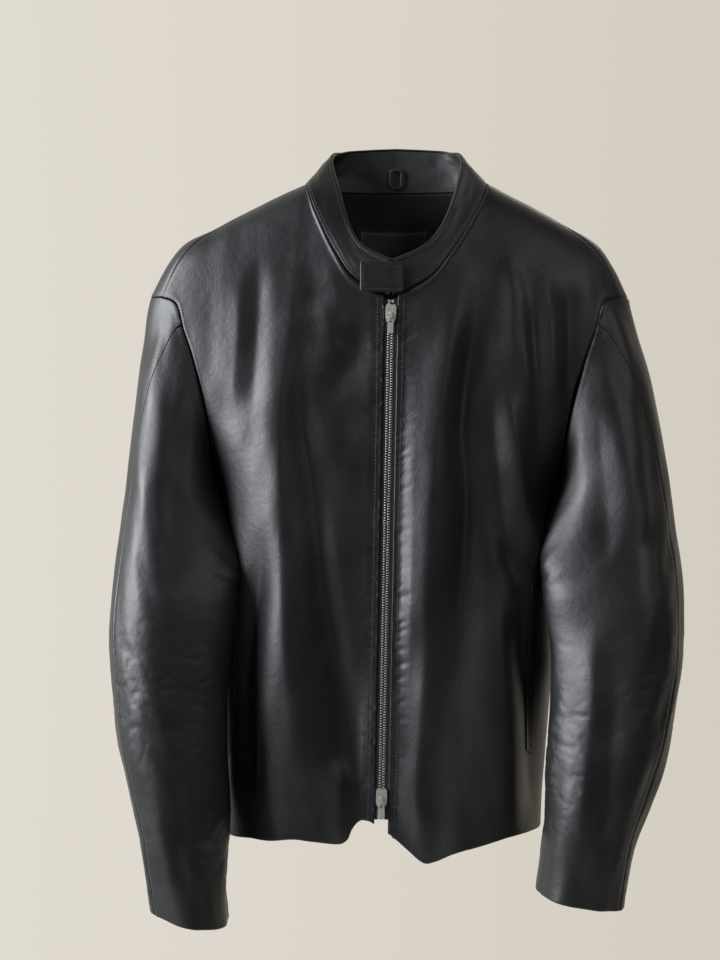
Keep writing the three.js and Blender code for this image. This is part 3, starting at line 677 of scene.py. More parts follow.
def sheetPiece(name, grid, outer, inner, edges=(), shows=1.0):
    # edges names the sides that turn under or are sewn, as {"left": "turned"}; shows is how far a seam shows
    dip = np.zeros(grid["left"].shape)
    for side, kind in dict(edges).items():
        here = edgeDip(grid[side], kind) * (shows if kind == "seam" else 1)
        dip = np.where(np.abs(here) > np.abs(dip), here, dip)
    half = (inner - outer) / 2
    # a sewn edge is rounded over less than a cut one
    tight = {side: 2.2 + 4 * (1 - shows) for side, kind in dict(edges).items() if kind == "seam"}
    borders = ("left", "right", "top", "bottom")
    nearest = np.minimum.reduce([grid[side] * tight.get(side, 1) for side in borders])
    inset = 1 - np.clip(nearest / half, 0, 1)
    swell = half * np.maximum(0.06, np.sqrt(1 - inset * inset))
    middle = (outer + inner) / 2 + dip
    outside = grid["face"] - grid["normal"] * (middle - swell)[..., None]
    inside = grid["face"] - grid["normal"] * (middle + swell)[..., None]
    points = np.concatenate([outside.reshape(-1, 3), inside.reshape(-1, 3)])
    flat = np.stack([grid["left"].ravel(), -grid["top"].ravel()], axis=1)
    faces = shellFaces(*grid["left"].shape, grid["hand"])
    return makeMesh(name, points, faces, np.concatenate([flat, flat + 700]))


# ---- materials ----
def linear(hexColour):
    # an sRGB hex colour as linear light
    parts = [int(hexColour[k:k + 2], 16) / 255 for k in (1, 3, 5)]
    return tuple(c / 12.92 if c <= 0.04045 else ((c + 0.055) / 1.055) ** 2.4 for c in parts) + (1.0,)


def addNode(tree, kind, links=None, **settings):
    # links gives each input its value, or the socket that feeds it
    node = tree.nodes.new(kind)
    for key, value in settings.items():
        setattr(node, key, value)
    for key, value in (links or {}).items():
        if isinstance(value, bpy.types.NodeSocket):
            tree.links.new(value, node.inputs[key])
        else:
            node.inputs[key].default_value = value
    return node


def newMaterial(name):
    material = bpy.data.materials.new(name)
    material.use_nodes = True
    tree = material.node_tree
    return material, tree, tree.nodes["Principled BSDF"]


def setShader(shader, values):
    for key, value in values.items():
        shader.inputs[key].default_value = value


def perMetre(size):
    return 1 / (size * mm)      # a noise scale from a size in mm


def ramp(tree, fac, stops):
    node = addNode(tree, "ShaderNodeValToRGB", {"Fac": fac})
    while len(node.color_ramp.elements) < len(stops):
        node.color_ramp.elements.new(0.5)
    for element, (place, colour) in zip(node.color_ramp.elements, stops):
        element.position = place
        element.color = colour
    return node.outputs["Color"]


# Smooth black nappa, a soft cowhide with its own fine grain under a thin semi-gloss finish. The gloss
# is broad, it is duller where it has been handled, and fine creases scatter it.
nappa = {
    "colour": "#0d0e10", "colourWorn": "#17181a", "roughness": (0.42, 0.54), "ior": 1.5,
    "grain": 0.9,               # mm between pores; real ones are nearer 0.4, drawn coarser so that they show
    "crease": 9, "creaseDepth": 0.14, "grainDepth": 0.05, "ripple": 7, "rippleDepth": 0.5,
    "coat": 0.06, "coatRoughness": 0.35,
}


def makeLeather(name, look):
    material, tree, shader = newMaterial(name)
    place = addNode(tree, "ShaderNodeTexCoord").outputs["Object"]
    pores = addNode(tree, "ShaderNodeTexVoronoi",
                    {"Vector": place, "Scale": perMetre(look["grain"]), "Randomness": 1.0},
                    feature="SMOOTH_F1")
    bend = addNode(tree, "ShaderNodeTexNoise", {"Vector": place, "Scale": perMetre(14), "Detail": 3.0})
    moved = addNode(tree, "ShaderNodeVectorMath",
                    {0: bend.outputs["Color"], 1: (0.004, 0.004, 0.004), 2: place}, operation="MULTIPLY_ADD")
    cells = addNode(tree, "ShaderNodeTexVoronoi",
                    {"Vector": moved.outputs[0], "Scale": perMetre(look["crease"])},
                    feature="DISTANCE_TO_EDGE")
    lines = ramp(tree, cells.outputs["Distance"], [(0.0, (0, 0, 0, 1)), (0.06, (1, 1, 1, 1))])
    patches = addNode(tree, "ShaderNodeTexNoise", {"Vector": place, "Scale": perMetre(60), "Detail": 4.0})
    amount = ramp(tree, patches.outputs["Fac"], [(0.42, (0, 0, 0, 1)), (0.66, (1, 1, 1, 1))])
    creased = addNode(tree, "ShaderNodeMix", {0: amount, 2: 1.0, 3: lines}, data_type="FLOAT")
    grain = addNode(tree, "ShaderNodeBump", {"Height": pores.outputs["Distance"], "Strength": 0.6,
                                             "Distance": look["grainDepth"] * mm})
    creases = addNode(tree, "ShaderNodeBump",
                      {"Height": creased.outputs[0], "Strength": 0.5,
                       "Distance": look["creaseDepth"] * mm, "Normal": grain.outputs[0]})
    ripple = addNode(tree, "ShaderNodeTexNoise",
                     {"Vector": place, "Scale": perMetre(look["ripple"]), "Detail": 3.0, "Roughness": 0.45})
    uneven = addNode(tree, "ShaderNodeBump",
                     {"Height": ripple.outputs["Fac"], "Strength": 0.6,
                      "Distance": look["rippleDepth"] * mm, "Normal": creases.outputs[0]})
    blacks = [(0.3, linear(look["colour"])), (0.75, linear(look["colourWorn"]))]
    tone = ramp(tree, patches.outputs["Fac"], blacks)
    low, high = look["roughness"]
    dull = addNode(tree, "ShaderNodeMapRange",
                   {"Value": patches.outputs["Fac"], "From Min": 0.3, "From Max": 0.7,
                    "To Min": low, "To Max": high})
    tree.links.new(tone, shader.inputs["Base Color"])
    tree.links.new(dull.outputs[0], shader.inputs["Roughness"])
    tree.links.new(uneven.outputs[0], shader.inputs["Normal"])
    setShader(shader, {"IOR": look["ior"], "Coat Weight": look["coat"],
                       "Coat Roughness": look["coatRoughness"]})
    return material


nappaLeather = makeLeather("blackNappaLeather", nappa)
insideLeather = makeLeather("blackFacingLeather", {**nappa, "colour": "#18191a", "colourWorn": "#242526",
                                                   "roughness": (0.44, 0.58), "coat": 0.03})

# Polyester lining twill: fine diagonal ribs, a soft broad sheen. Its ribs of 0.3 mm are drawn at 0.7.
liningTwill = {"colour": "#0e0e10", "rib": 0.7, "roughness": 0.5, "sheen": 0.3}
# Woven zip tape and interlining: matt, with ribs along it.
wovenTape = {"colour": "#0b0b0c", "rib": 0.9, "roughness": 0.8, "sheen": 0.2}
labelWeave = {"colour": "#4a4544", "rib": 0.5, "roughness": 0.7, "sheen": 0.25}


def makeWeave(name, look, slant):
    material, tree, shader = newMaterial(name)
    uv = addNode(tree, "ShaderNodeTexCoord").outputs["UV"]
    turned = addNode(tree, "ShaderNodeMapping", {"Vector": uv, "Rotation": (0, 0, math.radians(slant))})
    # a wave's bands repeat every 2 pi / 20 of its scaled coordinate
    ribs = addNode(tree, "ShaderNodeTexWave", {"Vector": turned.outputs[0], "Distortion": 0.4, "Detail": 1.0,
                                               "Scale": perMetre(look["rib"]) * 2 * math.pi / 20})
    shade = addNode(tree, "ShaderNodeTexNoise", {"Vector": uv, "Scale": perMetre(25), "Detail": 3.0})
    deep = tuple(c * 0.72 for c in linear(look["colour"])[:3]) + (1.0,)
    tone = ramp(tree, shade.outputs["Fac"], [(0.3, deep), (0.7, linear(look["colour"]))])
    raised = addNode(tree, "ShaderNodeBump",
                     {"Height": ribs.outputs["Fac"], "Strength": 0.5, "Distance": 0.08 * mm})
    tree.links.new(tone, shader.inputs["Base Color"])
    tree.links.new(raised.outputs[0], shader.inputs["Normal"])
    setShader(shader, {"Roughness": look["roughness"], "Sheen Weight": look["sheen"],
                       "Sheen Roughness": 0.5})
    return material


lining = makeWeave("liningTwill", liningTwill, 45)
tape = makeWeave("wovenZipTape", wovenTape, 0)
labelCloth = makeWeave("wovenLabel", labelWeave, 90)
# black thread drawn dark grey: the lighter colour is a painted highlight standing in for the sheen on the
# stitching
threadLookPaintedSheen = {"colour": "#3c3f42", "roughness": 0.5}
borderThread = {"colour": "#a09a94", "roughness": 0.6}


def makeThread(name, look):
    # spun polyester thread, with a slight twist that breaks up its gloss
    material, tree, shader = newMaterial(name)
    place = addNode(tree, "ShaderNodeTexCoord").outputs["Object"]
    twist = addNode(tree, "ShaderNodeTexWave", {"Vector": place, "Scale": perMetre(0.6) * 2 * math.pi / 20,
                                                "Distortion": 1.0}, bands_direction="DIAGONAL")
    raised = addNode(tree, "ShaderNodeBump",
                     {"Height": twist.outputs["Fac"], "Strength": 0.4, "Distance": 0.05 * mm})
    tree.links.new(raised.outputs[0], shader.inputs["Normal"])
    setShader(shader, {"Base Color": linear(look["colour"]), "Roughness": look["roughness"]})
    return material


thread = makeThread("blackThread", threadLookPaintedSheen)
paleThread = makeThread("labelThread", borderThread)

# Nickel-plated brass, die cast and tumbled: bright and a little warm, with faint handling marks.
nickel = {"colour": "#e4e1da", "roughness": (0.42, 0.52), "mark": 1.5}
brightMetal, metalTree, metalShader = newMaterial("nickelPlatedBrass")
metalPlace = addNode(metalTree, "ShaderNodeTexCoord").outputs["Object"]
marks = addNode(metalTree, "ShaderNodeTexNoise",
                {"Vector": metalPlace, "Scale": perMetre(nickel["mark"]), "Detail": 4.0})
metalDull = addNode(metalTree, "ShaderNodeMapRange",
                    {"Value": marks.outputs["Fac"], "From Min": 0.3, "From Max": 0.7,
                     "To Min": nickel["roughness"][0], "To Max": nickel["roughness"][1]})
metalBump = addNode(metalTree, "ShaderNodeBump",
                    {"Height": marks.outputs["Fac"], "Strength": 0.25, "Distance": 0.04 * mm})
metalTree.links.new(metalDull.outputs[0], metalShader.inputs["Roughness"])
metalTree.links.new(metalBump.outputs[0], metalShader.inputs["Normal"])
setShader(metalShader, {"Base Color": linear(nickel["colour"]), "Metallic": 1.0})
print("materials made")


def dress(piece, material, body, replaced=()):
    piece.data.materials.append(material)
    if body:
        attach(piece, body)
    if replaced:
        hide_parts(*replaced)
    return piece


# ---- stitching: short threads that lie along a line on the leather ----
stitching = {"length": 2.4, "gap": 1.0, "thick": 0.6, "proud": 0.05, "flat": 1.2}


def readAlong(values, gone, where):
    return np.stack([np.interp(where, gone, values[:, k]) for k in range(3)], axis=1)


def stitchRows(name, lines, body, material=thread):
    # each line is points and normals on the face, in mm
    capsule = []
    for k, share in enumerate((-0.5, -0.36, 0, 0.36, 0.5)):
        fat = (0.25, 0.8, 1, 0.8, 0.25)[k]
        capsule += [(share, fat * math.cos(a), fat * math.sin(a)) for a in np.arange(6) * math.pi / 3]
    capsule = np.array(capsule)
    ring = np.arange(6)
    ends = np.roll(ring, -1)
    band = np.stack([ring, ends, ends + 6, ring + 6], axis=1)
    capsuleFaces = np.concatenate([k * 6 + band for k in range(4)])
    caps = np.array([[3, 2, 1, 0], [5, 4, 3, 0], [24, 25, 26, 27], [24, 27, 28, 29]])
    capsuleFaces = np.concatenate([capsuleFaces[:, ::-1], caps[:, ::-1]])
    allPoints = []
    allFaces = []
    count = 0
    for points, normals in lines:
        steps = np.linalg.norm(np.diff(points, axis=0), axis=1)
        gone = np.concatenate([[0], np.cumsum(steps)])
        pitch = stitching["length"] + stitching["gap"]
        number = max(1, int(gone[-1] / pitch))
        at = (np.arange(number) + 0.5) * gone[-1] / number
        ahead = at + stitching["length"] / 2
        behind = at - stitching["length"] / 2
        start = readAlong(points, gone, behind)
        finish = readAlong(points, gone, ahead)
        up = unit(readAlong(normals, gone, at))
        along = unit(finish - start)
        aside = np.cross(up, along)
        middle = (start + finish) / 2 + up * stitching["proud"]
        thick = stitching["thick"] / 2
        made = (middle[:, None] + capsule[None, :, :1] * stitching["length"] * along[:, None]
                + capsule[None, :, 1:2] * thick * stitching["flat"] * aside[:, None]
                + capsule[None, :, 2:] * thick * up[:, None])
        allPoints.append(made.reshape(-1, 3))
        first = count + np.arange(number) * 30
        allFaces.append((capsuleFaces[None] + first[:, None, None]).reshape(-1, 4))
        count += number * 30
    piece = makeMesh(name, np.concatenate(allPoints), np.concatenate(allFaces))
    return dress(piece, material, body)


def lineDown(grid, edge, distance, rowFrom=0, rowTo=None):
    # a line down the grid, so many mm in from its left or right edge
    rows = np.arange(grid["face"].shape[0])[rowFrom:rowTo]
    points = []
    normals = []
    for j in rows:
        order = slice(None) if edge == "left" else slice(None, None, -1)
        gone = grid[edge][j][order]
        points.append([np.interp(distance, gone, grid["face"][j, order, k]) for k in range(3)])
        normals.append([np.interp(distance, gone, grid["normal"][j, order, k]) for k in range(3)])
    return np.array(points), unit(np.array(normals))


def lineAcross(grid, edge, distance, columnFrom=0, columnTo=None):
    columns = np.arange(grid["face"].shape[1])[columnFrom:columnTo]
    points = []
    normals = []
    for i in columns:
        order = slice(None) if edge == "top" else slice(None, None, -1)
        gone = grid[edge][order, i]
        points.append([np.interp(distance, gone, grid["face"][order, i, k]) for k in range(3)])
        normals.append([np.interp(distance, gone, grid["normal"][order, i, k]) for k in range(3)])
    return np.array(points), unit(np.array(normals))


# ---- fronts, back and what lines them ----
bodyParts = {
    "step": 2.4,                # mm between grid lines on the leather
    "liningStep": 5,
    "facingWide": 3 / 12,       # share of a front that the facing covers
    "hemRows": 17 / 18,         # where the hem facing starts
    "liningTop": 2 / 18,
    "seam": 0.25,               # mm left at each panel's seam edge
}
frontWide = 205                 # mm, the usual width and length of a front, to space its grid
frontLong = 590
backWide = 400
backLong = 690
facingPly = (form["facingDepth"], form["facingDepth"] + 1.0)
liningPly = (form["facingDepth"] + 0.7, form["facingDepth"] + 1.3)


def shareRange(stops, low, high):
    return low + (high - low) * stops


def bodyRelief(name):
    if name == "Back":
        return lambda u, v, p: backRelief(p[..., 0], p[..., 2])
    return lambda u, v, p: frontRelief(name, p[..., 0], p[..., 2])


# width and length in mm that the large panels are cut to, before their armholes and necks are cut out
cuts = {"front": (285, 700), "frontLining": (215, 600), "back": (520, 690), "backLining": (500, 590),
        "sleeveTop": (215, 620), "sleeveUnder": (230, 630), "sleeveLining": (430, 570)}


def declare(piece, grid, cut=None):
    # each panel is cut flat: cut is its width and length, or else they are read along its grid
    width, length = cut or (grid["left"][:, -1].max(), grid["top"][-1].max())
    width = float(width) * mm
    length = float(length) * mm
    print(f"{piece.name} cut {width / mm:.0f} x {length / mm:.0f} mm")


fronts = {}
for name, side in sides.items():
    face = frontFace(name)
    relief = bodyRelief(name)
    low = name.lower()
    seam = bodyParts["seam"]
    across = stopsOver(frontWide, bodyParts["step"], 0, seam)
    down = stopsOver(frontLong, bodyParts["step"], seam, 0)
    grid = makeGrid(face, -side, across, down, relief)
    # a raised line where the collar seam's allowance is pressed to the body
    neckCloseness = bump(grid["top"] - 4, 3.5) * (1 - smooth((across[None, :] - 0.46) / 0.05))
    grid = withEdges(grid["face"] + grid["normal"] * (0.7 * neckCloseness)[..., None], -side)
    fronts[name] = grid
    front = sheetPiece("front" + name, grid, 0, leather,
                       {"left": "turned", "right": "seam", "top": "seam", "bottom": "turned"})
    dress(front, nappaLeather, "jacket", [f"front_panel_{low}"])
    declare(front, grid, cuts["front"])

    share = bodyParts["facingWide"]
    facingStops = shareRange(stopsOver(frontWide * share, bodyParts["liningStep"], 1.5), 0, share)
    downFacing = stopsOver(frontLong, bodyParts["liningStep"], 3, 1.2)
    facingGrid = makeGrid(face, -side, facingStops, downFacing, relief)
    facing = sheetPiece("frontFacing" + name, facingGrid, *facingPly)
    dress(facing, insideLeather, "jacket", [f"front_facing_{low}"])
    declare(facing, facingGrid)

    hemStops = shareRange(stopsOver(frontLong / 18, 4, 0, 1.2), bodyParts["hemRows"], 1)
    sideStops = shareRange(stopsOver(frontWide * (1 - share), bodyParts["liningStep"], 0.4, 3), share, 1)
    hemGrid = makeGrid(face, -side, sideStops, hemStops, relief)
    hem = sheetPiece("hemFacing" + name, hemGrid, *facingPly)
    dress(hem, insideLeather, "jacket", [f"hem_facing_{low}"])
    declare(hem, hemGrid)

    liningStops = stopsOver(frontLong * 15 / 18, bodyParts["liningStep"], 0, 0.4)
    liningStops = shareRange(liningStops, bodyParts["liningTop"], bodyParts["hemRows"])
    liningGrid = makeGrid(face, -side, sideStops, liningStops, relief)
    inside = sheetPiece("frontLining" + name, liningGrid, *liningPly)
    dress(inside, lining, "jacket", [f"front_lining_{low}"])
    declare(inside, liningGrid, cuts["frontLining"])

relief = bodyRelief("Back")
across = stopsOver(backWide, bodyParts["step"] * 1.1, bodyParts["seam"], bodyParts["seam"])
down = stopsOver(backLong, bodyParts["step"] * 1.1, bodyParts["seam"], 0)
backGrid = makeGrid(backFace, 1, across, down, relief)
sewn = {"left": "seam", "right": "seam", "top": "seam", "bottom": "turned"}
back = sheetPiece("back", backGrid, 0, leather, sewn)
dress(back, nappaLeather, "jacket", ["back_panel"])
declare(back, backGrid, cuts["back"])

insetSides = stopsOver(backWide, bodyParts["liningStep"], 3, 3)
backInsides = {
    "backNeckFacing": {"across": shareRange(stopsOver(200, 3), 0.25, 0.75),
                       "down": shareRange(stopsOver(70, 3, 0.4), 0, 2 / 18),
                       "ply": facingPly, "look": insideLeather, "node": "back_neck_facing"},
    "backLining": {"across": insetSides, "down": shareRange(stopsOver(580, 5, 0.5, 0.4), 2 / 18, 17 / 18),
                   "ply": liningPly, "look": lining, "node": "back_lining"},
    "hemFacingBack": {"across": insetSides, "down": shareRange(stopsOver(38, 4, 0.4, 1.2), 17 / 18, 1),
                      "ply": facingPly, "look": insideLeather, "node": "hem_facing_back"},
}
for pieceName, part in backInsides.items():
    partGrid = makeGrid(backFace, 1, part["across"], part["down"], relief)
    piece = sheetPiece(pieceName, partGrid, *part["ply"])
    dress(piece, part["look"], "jacket", [part["node"]])
    declare(piece, partGrid, cuts.get(pieceName))
print("fronts and back made")

# pocket welts: a narrow turned strip on each front, beside its slot
welts = {"from": (8.5 / 12, 13.4 / 18), "to": (9.25 / 12, 16.6 / 18), "proud": 0.2}
for name, side in sides.items():
    across = shareRange(stopsOver(16, 1.2), welts["from"][0], welts["to"][0])
    down = shareRange(stopsOver(110, 1.6), welts["from"][1], welts["to"][1])
    strip = makeGrid(frontFace(name), -side, across, down, bodyRelief(name))
    welt = sheetPiece("pocketWelt" + name, strip, -welts["proud"] - 1.0, -welts["proud"] + 0.1)
    dress(welt, nappaLeather, "jacket", [f"pocket_welt_{name.lower()}"])

# label on a leather patch inside the back neck
patchDepth = liningPly[1] + 0.35
patchGrid = makeGrid(backFace, 1, shareRange(stopsOver(60, 2), 8.5 / 20, 11.5 / 20),
                     shareRange(stopsOver(85, 2), 2.2 / 18, 4.6 / 18), relief)
patch = sheetPiece("labelPatch", patchGrid, patchDepth, patchDepth + 0.7)
dress(patch, insideLeather, "jacket", ["label_patch"])
declare(patch, patchGrid)
labelGrid = makeGrid(backFace, 1, shareRange(stopsOver(52, 2), 8.7 / 20, 11.3 / 20),
                     shareRange(stopsOver(68, 2), 2.4 / 18, 4.3 / 18), relief)
label = sheetPiece("wovenLabel", labelGrid, patchDepth + 1.0, patchDepth + 1.45)
dress(label, labelCloth, "jacket", ["label"])
declare(label, labelGrid)


def inward(line, depth):
    points, normals = line
    return points - normals * depth, -normals


labelLines = [lineDown(labelGrid, "left", 2.5), lineDown(labelGrid, "right", 2.5),
              lineAcross(labelGrid, "top", 2.5), lineAcross(labelGrid, "bottom", 2.5)]
labelLines = [inward(line, patchDepth + 1.47) for line in labelLines]
stitchRows("labelBorder", labelLines, "jacket", paleThread)

# ---- sleeves: one skin each for the top and the under sleeve ----
sleeveParts = {"step": 2.4, "liningStep": 6, "bendOver": 75, "elbow": (0.2335, -0.1005, -0.42)}
sleeveLong = 640
sleeveStart = 0.002
for name, side in sides.items():
    low = name.lower()
    forearm = "forearm_" + low

    def bendSleeve(piece):
        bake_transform(piece)

    def sleeveGrid(turnFrom, turnTo, shareFrom, shareTo, wide, step, inset=0.0, bottom=0.0):
        face = sleeveFace(name, turnFrom, turnTo, shareFrom, shareTo)

        def relief(u, v, p):
            return sleeveRelief(name, mix(shareFrom, shareTo, v), np.radians(mix(turnFrom, turnTo, u)), p)

        long = sleeveLong * (shareTo - shareFrom)
        down = stopsOver(long, step, 0.2, bottom)
        return makeGrid(face, side, stopsOver(wide, step, inset, inset), down, relief)

    seamFront, seamBack = sleeve["topFrom"], sleeve["topTo"]
    step = sleeveParts["step"]
    topGrid = sleeveGrid(seamFront, seamBack, sleeveStart, 1, 170, step, 0.25)
    underGrid = sleeveGrid(seamBack, seamFront + 360, sleeveStart, 1, 190, step, 0.25)
    for part, grid in (("Top", topGrid), ("Under", underGrid)):
        # the seams along the sleeve hardly show near the shoulder
        gone = grid["top"] / grid["top"][-1:]
        shows = np.maximum(smooth((gone - 0.12) / 0.3), bump(grid["top"], 5))
        skin = sheetPiece("sleeve" + part + name, grid, 0, leather, sewn, shows)
        replaced = [f"sleeve_{low}_{part.lower()}_{half}" for half in ("upper", "lower")]
        dress(skin, nappaLeather, None, replaced)
        bendSleeve(skin)
        declare(skin, grid, cuts["sleeve" + part])
    inner = sleeveGrid(seamBack, seamBack + 360, 0.12, 0.94, 360, sleeveParts["liningStep"], 0.2)
    deep = form["sleeveLiningDepth"]
    loose = sheetPiece("sleeveLining" + name, inner, deep, deep + 0.6)
    dress(loose, lining, None, [f"sleeve_lining_{low}_upper", f"sleeve_lining_{low}_lower"])
    bendSleeve(loose)
    declare(loose, inner, cuts["sleeveLining"])
    cuff = sleeveGrid(seamBack, seamBack + 360, 0.942, 0.999, 360, 4, 0.2)
    turned = sheetPiece("cuffFacing" + name, cuff, leather + 0.35, leather + 1.35)
    dress(turned, insideLeather, forearm, [f"cuff_facing_{low}"])
    declare(turned, cuff)
print("sleeves made")

# ---- collar ----
collarWide = 330
collarStops = stopsOver(collarWide, 2)


def collarGrid(down):
    def relief(u, v, p):
        ripple = 0.5 * softNoise(u * collarWide + 50, v * 50, 16, 51)
        ripple = ripple + 0.35 * softNoise(u * collarWide, v * 50, 8, 52)
        # it lies flatter at its left end, where the opened tab comes over it
        free = smooth((0.92 - u) / 0.06)
        return (collar["bow"] * 4 * v * (1 - v) + ripple * smooth(v * 5) + 0.6) * free - 0.6
    return makeGrid(collarFace, 1, collarStops, down, relief)


def collarOuterPiece():
    # the outer leather goes up, over the rim and a little way down inside
    grid = collarGrid(stopsOver(50, 1.6))
    face = grid["face"]
    normal = grid["normal"]
    radius = collar["thickness"] / 2
    up = unit(face[0] - face[3])
    groove = 0.45 * bump(grid["top"] - 4.5, 0.9) + 0.5 * bump(grid["bottom"] - 3.5, 0.9)
    swell = 0.5 * bump(grid["top"] - 1.5, 1.8)
    face = face + normal * (swell - groove)[..., None]
    rows = []
    for angle in np.radians((172, 150, 125, 100, 75, 50, 25)):
        back = normal[0] * (radius * (1 - math.cos(angle)))
        rows.append(face[0] - back + up * radius * 0.8 * math.sin(angle))
    wrapped = np.concatenate([np.array(rows), face])
    made = withEdges(wrapped, 1)
    return grid, made


collarFlat, collarWrapped = collarOuterPiece()
collarSkin = sheetPiece("collarOuter", collarWrapped, 0, 1.1, {"bottom": "seam"})
dress(collarSkin, nappaLeather, "jacket", ["collar_outer"])
declare(collarSkin, collarWrapped)
coreGrid = collarGrid(shareRange(stopsOver(48, 4), 0.06, 1.05))
core = sheetPiece("collarStiffener", coreGrid, leather + 0.7, leather + 1.3)
dress(core, tape, "jacket", ["collar_stiffener"])
declare(core, collarFlat)
insideDown = shareRange(stopsOver(47, 2), 0.015, 0.995)
collarInsideGrid = collarGrid(insideDown)
collarInside = sheetPiece("collarInner", collarInsideGrid, leather + 2.1, leather + 3.1)
dress(collarInside, insideLeather, "jacket", ["collar_inner"])
declare(collarInside, collarInsideGrid)
print("collar made")

# ---- topstitching ----
rows = []
for name, side in sides.items():
    grid = fronts[name]
    points, normals = lineDown(grid, "left", puckers["stitchFromEdge"], 6)
    rows.append((points, normals))
stitchRows("zipStitching", rows, "jacket")
collarLines = [lineAcross(collarFlat, "top", 4.5), lineAcross(collarFlat, "bottom", 3.5)]
stitchRows("collarStitching", collarLines, "jacket")
insideRow = lineAcross(collarInsideGrid, "bottom", 3.5)
stitchRows("neckStitching", [inward(insideRow, leather + 3.12)], "jacket", thread)

# ---- hang loop: a doubled leather strap, standing up inside the collar ----
hangLoop = {"width": 3.4, "thickness": 1.4, "lean": 6, "squareness": 0.5}


def sweep(name, path, across, outward, wide, thick, closed):
    # a strap with rounded edges along a path; across is its width's direction, outward its thickness's
    profile = [(math.cos(a), math.sin(a)) for a in np.arange(12) * math.pi / 6]
    profile = np.array([(np.sign(c) * abs(c) ** 0.45 * wide / 2, np.sign(s) * abs(s) ** 0.8 * thick / 2)
                        for c, s in profile])
    points = path[:, None] + profile[None, :, :1] * across[:, None] + profile[None, :, 1:] * outward[:, None]
    count = len(path)
    faces = []
    for j in range(count if closed else count - 1):
        k = (j + 1) % count
        faces += [(j * 12 + i, j * 12 + (i + 1) % 12, k * 12 + (i + 1) % 12, k * 12 + i) for i in range(12)]
    uv = np.stack(np.broadcast_arrays(np.arange(12)[None, :] * 1.0, np.arange(count)[:, None] * 1.5), axis=2)
    return makeMesh(name, points.reshape(-1, 3), faces, uv.reshape(-1, 2))


loopLow, loopHigh = [np.array(corner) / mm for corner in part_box("hang_loop")]
loopTurns = np.linspace(0, 2 * math.pi, 48, endpoint=False)
loopCentre = (loopLow + loopHigh) / 2
loopHalf = (loopHigh - loopLow) / 2
square = hangLoop["squareness"]
ringX = np.sign(np.cos(loopTurns)) * np.abs(np.cos(loopTurns)) ** square * (loopHalf[0] - 2)
ringZ = np.sign(np.sin(loopTurns)) * np.abs(np.sin(loopTurns)) ** square * (loopHalf[2] - 2.1)
lean = math.tan(math.radians(hangLoop["lean"]))
loopPath = np.stack([loopCentre[0] + ringX, loopCentre[1] - ringZ * lean, loopCentre[2] + ringZ], axis=1)
loopOut = np.broadcast_to(unit(np.array([0, -1, -lean])), loopPath.shape)
loopAlong = unit(np.roll(loopPath, -1, axis=0) - np.roll(loopPath, 1, axis=0))
loopAcross = unit(np.cross(loopAlong, loopOut))
loop = sweep("hangLoop", loopPath, loopAcross, loopOut, hangLoop["width"], hangLoop["thickness"], True)
dress(loop, insideLeather, "jacket", ["hang_loop"])

# ---- the zip, drawn with its top at the origin and then set on its line ----
zipLength = float(np.linalg.norm(zipTop - zipBottom))
zipUp = (zipTop - zipBottom) / zipLength
zipAcross = unit(np.array([1, 0, 0]) - zipUp * zipUp[0])
zipIn = np.cross(zipUp, zipAcross)
zipParts = {
    "toothPitch": 2.5, "teethWidth": 5.8, "tapeWidth": 13, "tapeThickness": 0.6,
    "toothFront": 1.0, "toothBack": 2.6, "crown": 0.3, "teethTop": -4, "pinLength": 15,
}


def onZip(points):
    points = np.asarray(points, float)
    return zipTop + points[..., :1] * zipAcross + points[..., 1:2] * zipIn + points[..., 2:] * zipUp


